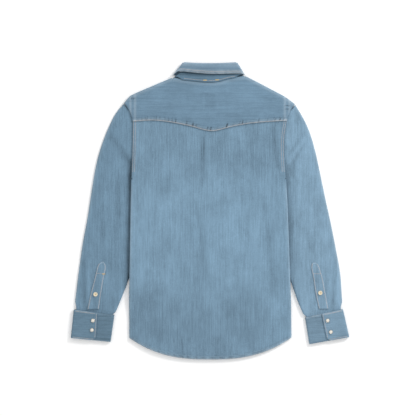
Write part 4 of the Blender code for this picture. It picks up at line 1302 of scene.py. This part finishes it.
def on_ring(ring, place, back_y, front_y):
    """A point of the flattened collar; place runs from -1 to 1, with 0 at the back."""
    side = -1 if place < 0 else 1
    round_it = abs(place)
    flat = ring.half_width - ring.radius
    lower = 0.0
    front = 0.0
    if round_it <= BACK_END:
        distance = flat * round_it / BACK_END
    elif round_it <= SIDE_END:
        turn = math.pi * (round_it - BACK_END) / (SIDE_END - BACK_END)
        distance = flat + ring.radius * math.sin(turn)
        lower = (1 - math.cos(turn)) / 2
    else:
        front = (round_it - SIDE_END) / (1 - SIDE_END)
        distance = mix(flat, ring.front_end, front)
        lower = 1.0
    x = ring.middle + side * distance
    y = mix(back_y(x), front_y(distance, front), lower)
    z = mix(ring.back_height, ring.front_height, lower)
    return Vector((x, y, z))


STAND_BACK_Y = 0.3790
STAND_FRONT_HEIGHT = 0.026
LEAF_LAP = 0.004                  # leaf over the stand's upper edge
ROLL_Y = 0.3981
ROLL_SIDE_RISE = 0.0030
LEAF_BACK_EDGE = (
    Across(-0.101, 0.3625),
    Across(-0.094, 0.3705),
    Across(-0.085, 0.3755),
    Across(-0.045, 0.3720),
    Across(0.003, 0.3685),
    Across(0.050, 0.3690),
    Across(0.080, 0.3690),
    Across(0.095, 0.3660),
)
COLLAR_POINT_Y = 0.252
COLLAR_PLACES = (spread(-1.0, -SIDE_END, 6) + spread(-SIDE_END, -BACK_END, 5)[1:]
                 + spread(-BACK_END, BACK_END, 9)[1:] + spread(BACK_END, SIDE_END, 5)[1:]
                 + spread(SIDE_END, 1.0, 6)[1:])


def collar_stand_rows():
    """Collar stand: the band sewn to the neck, its ends lapped at the front."""
    def seam_back(x):
        off = smooth(0.070, 0.083, abs(x - STAND_SEAM.middle))
        return read(NECK_SEAM, x) + mix(-0.0015, 0.0040, off)

    def seam_front(distance, _front):
        return front_neck_y(distance)

    def top_back(_x):
        return STAND_BACK_Y

    def top_front(distance, _front):
        low = FRONT_NECK_Y + STAND_FRONT_HEIGHT
        share = min(1.0, abs(distance) / STAND_TOP.half_width)
        return low + (STAND_BACK_Y - low) * share ** NECK_POWER

    seam = []
    top = []
    for place in COLLAR_PLACES:
        lift = LAP * smooth(0.93, 0.97, place)
        seam.append(on_ring(STAND_SEAM, place, seam_back, seam_front) + Vector((0, 0, lift)))
        top.append(on_ring(STAND_TOP, place, top_back, top_front) + Vector((0, 0, lift)))
    rows = [[low.lerp(high, share) for low, high in zip(seam, top)] for share in spread(0.0, 1.0, 3)]
    return rows


def collar_leaf_rows():
    """Collar leaf: folds over the stand, with a point at each side of the front."""
    def seam_front(distance, _front):
        low = FRONT_NECK_Y + STAND_FRONT_HEIGHT
        share = min(1.0, abs(distance) / STAND_TOP.half_width)
        return low + (STAND_BACK_Y - low) * share ** NECK_POWER - LEAF_LAP

    def seam_back(_x):
        return STAND_BACK_Y - LEAF_LAP

    def roll_back(x):
        return ROLL_Y - 0.004 + ROLL_SIDE_RISE * (x / LEAF_OUTSIDE.half_width) ** 2

    def roll_front(distance, _front):
        low = FRONT_NECK_Y + STAND_FRONT_HEIGHT + 0.003
        share = min(1.0, abs(distance) / LEAF_OUTSIDE.half_width)
        return low + (roll_back(LEAF_OUTSIDE.half_width) - low) * share ** NECK_POWER

    def edge_back(x):
        return read(LEAF_BACK_EDGE, x)

    def edge_front(_distance, front):
        return mix(edge_back(LEAF_EDGE.half_width), COLLAR_POINT_Y, front)

    rows = [[] for _ in range(12)]
    for place in COLLAR_PLACES:
        start = on_ring(LEAF_SEAM, place, seam_back, seam_front)
        inside = on_ring(LEAF_INSIDE, place, roll_back, roll_front)
        outside = on_ring(LEAF_OUTSIDE, place, roll_back, roll_front)
        edge = on_ring(LEAF_EDGE, place, edge_back, edge_front)
        middle = (inside + outside) / 2
        half = (outside - inside) / 2
        up = Vector((0, min(half.length, 0.0042), 0))
        halfway = outside.lerp(edge, 0.5)
        bulge = on_ring(LEAF_MIDDLE, place, edge_back, edge_front)
        halfway.z = mix(halfway.z, bulge.z, 0.8)
        arc = [middle - half * math.cos(turn) + up * math.sin(turn)
               for turn in (math.pi * k / 8 for k in range(1, 8))]
        for row, point in zip(rows, (start, inside, *arc, outside, halfway, edge)):
            row.append(point)
    return rows


STAND_PAINTED_SHADE = 0.42                 # painted shade: brightness lost under the leaf
LEAF_EDGE_WEAR = 0.55
ROLL_WEAR = 0.25
LEAF_STITCH = 0.0065              # stitching in from the leaf's edge
NECK_STITCH = 0.0030
LEAF_UPPER_LAYER = 0.006


def stand_paint(x, y, _z):
    """Stand: painted shade under the leaf."""
    return -STAND_PAINTED_SHADE * smooth(0.357, 0.372, y) + 0.06 * mottle(x, y, 0.02, 51.0), 0.0


def leaf_paint(x, y, z):
    """Leaf: pale along its lower edge and along the fold at its top."""
    if z < LEAF_UPPER_LAYER:
        return 0.0, 0.0
    edge = y - read(LEAF_BACK_EDGE, x)
    wear = (LEAF_EDGE_WEAR + 0.4 * mottle(x, y, 0.01, 52.0)) * near(edge, 0.0035)
    wear += ROLL_WEAR * near(ROLL_Y - y, 0.004)
    return 0.05 * mottle(x, y, 0.015, 53.0) - 0.10 * near(edge - 0.010, 0.004), max(0.0, wear)


for name, grid, colour, paint in (
        ("collar_stand", collar_stand_rows(), (0.128, 0.218, 0.300), stand_paint),
        ("collar_leaf", collar_leaf_rows(), (0.170, 0.268, 0.360), leaf_paint)):
    collar_denim = denim(name + " denim", colour, crosswise=True, streaks=0.40)
    lay(cloth(name + "_cloth", grid, collar_denim, paint), name, grid)
leaf_line = [(x, read(LEAF_BACK_EDGE, x) + LEAF_STITCH, LEAF_EDGE.back_height + 0.0010)
             for x in stepped(-0.085, 0.0017)]
stitches("collar_leaf_stitching", [leaf_line], ECRU)


def on_stand(x, y):
    """Upper face of the stand behind the neck, which slopes down under the leaf."""
    seam_y = read(NECK_SEAM, x)
    share = (y - seam_y) / (STAND_BACK_Y - seam_y)
    return mix(STAND_SEAM.back_height, STAND_TOP.back_height, share) + WALL / 2


neck_line = [(x, read(NECK_SEAM, x) + NECK_STITCH) for x in stepped(-0.070, 0.00138)]
stitches("neck_seam_stitching", [[(x, y, on_stand(x, y)) for x, y in neck_line]], ECRU)
NECK_TACKS = ((-0.0135, 0.3514), (0.0189, 0.3522))
PLACKET_TACK = (-0.2860, -0.1700)
TACK_SLANT = 0.0003
tacks = []


def bar_tack(left, y, z, step, count, half):
    """A row of close, slanting bars of thread."""
    for k in range(count):
        x = left + step * k
        tacks.append([(x, y - half, z), (x + TACK_SLANT, y + half, z)])


for x, y in NECK_TACKS:
    bar_tack(x - 0.0045, y, on_stand(x, y), step=0.009 / 11, count=12, half=0.0014)
x, y = PLACKET_TACK
bar_tack(x - 0.004, y, on_placket(x, y, -1, "left"), step=0.0011, count=8, half=0.0013)
stitches("golden_bar_tacks", tacks, GOLD, length=0.0026, width=0.0008)

# ================================================================ snaps
# Pearl snaps: a cream plastic cap in a bright metal ring. Two close each cuff, and the
# ones of the front and the collar lie face down under the shirt.
SNAP_RADIUS = 0.0054
SNAP_HEIGHT = 0.0026
FRONT_SNAP_HEIGHT = 0.0016
FRONT_SNAP_TOP_Y = 0.235
FRONT_SNAP_PITCH = 0.095
FRONT_SNAP_COUNT = 6
CUFF_SNAPS = {
    "left": ((-0.3150, -0.2950), (-0.3175, -0.3205)),
    "right": ((0.3165, -0.2950), (0.3250, -0.3258)),
}
ROUND_SIDES = 40


def turned(name, profile, place, mat):
    """A round piece turned from (radius, height) pairs, from its top to its underside."""
    work = bmesh.new()
    rings = []
    for radius, height in profile:
        count = 1 if radius == 0 else ROUND_SIDES
        rings.append([work.verts.new((place[0] + radius * math.cos(2 * math.pi * k / count),
                                      place[1] + radius * math.sin(2 * math.pi * k / count),
                                      place[2] + height)) for k in range(count)])
    for upper, lower in zip(rings, rings[1:]):
        for k in range(ROUND_SIDES):
            after = (k + 1) % ROUND_SIDES
            corners = [upper[k % len(upper)], lower[k % len(lower)],
                       lower[after % len(lower)], upper[after % len(upper)]]
            work.faces.new(list(dict.fromkeys(corners)))
    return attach(placed(name, work, mat), "root")


CLOUD_RANGE = (0.92, 1.05)


def clouded(name, colour, roughness, metallic=0.0):
    """Plastic or metal with a faint cloudy change of colour."""
    mat = thread_material(name, colour)
    shader = mat.node_tree.nodes["Principled BSDF"]
    shader.inputs["Roughness"].default_value = roughness
    shader.inputs["Metallic"].default_value = metallic
    cloudy = next(node for node in mat.node_tree.nodes if node.type == "MIX")
    dark, pale = CLOUD_RANGE
    cloudy.inputs["A"].default_value = (*[part * dark for part in colour], 1.0)
    cloudy.inputs["B"].default_value = (*[min(1.0, part * pale) for part in colour], 1.0)
    return mat


PEARL_SHARE = 0.76                # cap's radius, as a share of the snap's
PEARL_MAT = clouded("pearl", (0.76, 0.72, 0.64), 0.22)
RIM_MAT = clouded("snap metal", (0.62, 0.61, 0.58), 0.3, 1.0)
BUTTON_MAT = clouded("button plastic", (0.74, 0.66, 0.50), 0.35)


def snap(title, node, place, height, up=True):
    """Metal ring and pearl cap of one snap."""
    ring = ((0.0, height * 0.30), (SNAP_RADIUS * PEARL_SHARE, height * 0.30),
            (SNAP_RADIUS * 0.80, height * 0.80), (SNAP_RADIUS * 0.90, height * 0.86),
            (SNAP_RADIUS, height * 0.55), (SNAP_RADIUS * 0.96, 0.0), (0.0, 0.0))
    cap = ((0.0, height), (SNAP_RADIUS * 0.40, height * 0.98), (SNAP_RADIUS * 0.64, height * 0.88),
           (SNAP_RADIUS * 0.75, height * 0.70), (SNAP_RADIUS * 0.75, height * 0.34),
           (0.0, height * 0.34))
    if not up:
        ring = [(radius, height - level) for radius, level in reversed(ring)]
        cap = [(radius, height - level) for radius, level in reversed(cap)]
    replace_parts(turned(title + "_ring", ring, place, RIM_MAT), node)
    turned(title + "_pearl", cap, place, PEARL_MAT)


for k in range(FRONT_SNAP_COUNT):
    snap(f"front_snap_{k + 1}", f"front_snap_{k + 1}",
         (0.0, FRONT_SNAP_TOP_Y - k * FRONT_SNAP_PITCH, 0.0), FRONT_SNAP_HEIGHT, up=False)
snap("collar_snap", "collar_snap",
     (0.0, FRONT_NECK_Y + STAND_FRONT_HEIGHT / 2,
      STAND_TOP.front_height - WALL / 2 - GAP - FRONT_SNAP_HEIGHT), FRONT_SNAP_HEIGHT, up=False)
for name, places in CUFF_SNAPS.items():
    for k, (x, y) in enumerate(places):
        snap(f"cuff_snap_{name}_{k + 1}", f"cuff_snap_{name}_{k + 1}",
             (x, y, CUFF_UPPER + CUFF_WALL / 2 + GAP), SNAP_HEIGHT)

# ================================================================ placket buttons
# A small cream sew-through button on each sleeve placket, held by a cross of yellow
# thread through its four holes.
BUTTON_RADIUS = 0.0059
BUTTON_HEIGHT = 0.0028
BUTTON_HOLLOW = 0.0036
BUTTON_HOLLOW_DEPTH = 0.0008
PLACKET_BUTTONS = {"left": (-0.3080, -0.2245), "right": (0.2967, -0.2207)}


def button_profile():
    """Sew-through button: a raised rim round a flat hollow, from the top down."""
    floor = BUTTON_HEIGHT - BUTTON_HOLLOW_DEPTH
    return ((0.0, floor), (BUTTON_HOLLOW, floor), (BUTTON_HOLLOW * 1.2, BUTTON_HEIGHT),
            (BUTTON_RADIUS * 0.92, BUTTON_HEIGHT), (BUTTON_RADIUS, BUTTON_HEIGHT * 0.55),
            (BUTTON_RADIUS * 0.85, 0.0), (0.0, 0.0))


HOLE_HALF = 0.0016                # holes from the button's middle, each way


for name, (x, y) in PLACKET_BUTTONS.items():
    side = SLEEVES[name].side
    lay = max(sleeve_height(x + dx, y + dy, side, name)
              for dx in (-BUTTON_RADIUS, 0, BUTTON_RADIUS)
              for dy in (-BUTTON_RADIUS, 0, BUTTON_RADIUS))
    base = lay + LAP + WALL / 2 + GAP
    button = turned(f"placket_button_{name}_disc", button_profile(), (x, y, base), BUTTON_MAT)
    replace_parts(button, "placket_button_" + name)
    floor = base + BUTTON_HEIGHT - BUTTON_HOLLOW_DEPTH + STITCH_RISE
    cross = [[(x - HOLE_HALF, y - turn * HOLE_HALF, floor),
              (x + HOLE_HALF, y + turn * HOLE_HALF, floor)] for turn in (1, -1)]
    stitches("button_thread_" + name, cross, GOLD, length=0.0044, width=0.0007)

# ================================================================ surface, light and camera
# A plain white table, soft light from the upper right, and a camera straight above.
FLOOR_HALF = 3.0
FLOOR_Z = -0.0003
WORLD_STRENGTH = 0.88
KEY_PLACE = (2.2, 2.0, 1.9)
KEY_SIZE = 0.7
KEY_POWER = 60.0
CAMERA_PLACE = (-0.0054, 0.0077, 3.12)
CAMERA_LENS = 100.0
floor_corners = [(x * FLOOR_HALF, y * FLOOR_HALF, FLOOR_Z)
                 for x, y in ((-1, -1), (1, -1), (1, 1), (-1, 1))]
floor_mesh = bpy.data.meshes.new("surface")
floor_mesh.from_pydata(floor_corners, [], [(0, 1, 2, 3)])
surface = bpy.data.objects.new("surface", floor_mesh)
surface_mat = bpy.data.materials.new("white surface")
surface_mat.use_nodes = True
surface_shader = surface_mat.node_tree.nodes["Principled BSDF"]
surface_shader.inputs["Base Color"].default_value = (1.0, 1.0, 1.0, 1.0)
surface_shader.inputs["Roughness"].default_value = 0.9
floor_mesh.materials.append(surface_mat)
bpy.context.scene.collection.objects.link(surface)

world = bpy.data.worlds.new("studio")
bpy.context.scene.world = world
world.use_nodes = True
background = world.node_tree.nodes["Background"]
background.inputs["Color"].default_value = (1.0, 1.0, 1.0, 1.0)
background.inputs["Strength"].default_value = WORLD_STRENGTH

key_data = bpy.data.lights.new("key light", "AREA")
key_data.size = KEY_SIZE
key_data.energy = KEY_POWER
key = bpy.data.objects.new("key light", key_data)
key.location = KEY_PLACE
key.rotation_euler = (-Vector(KEY_PLACE)).to_track_quat("-Z", "Y").to_euler()
bpy.context.scene.collection.objects.link(key)
bpy.context.scene.view_settings.view_transform = "Standard"
camera_data = bpy.data.cameras.new("camera")
camera_data.lens = CAMERA_LENS
camera_data.clip_end = 20.0
camera = bpy.data.objects.new("camera", camera_data)
camera.location = CAMERA_PLACE
bpy.context.scene.collection.objects.link(camera)
bpy.context.scene.camera = camera
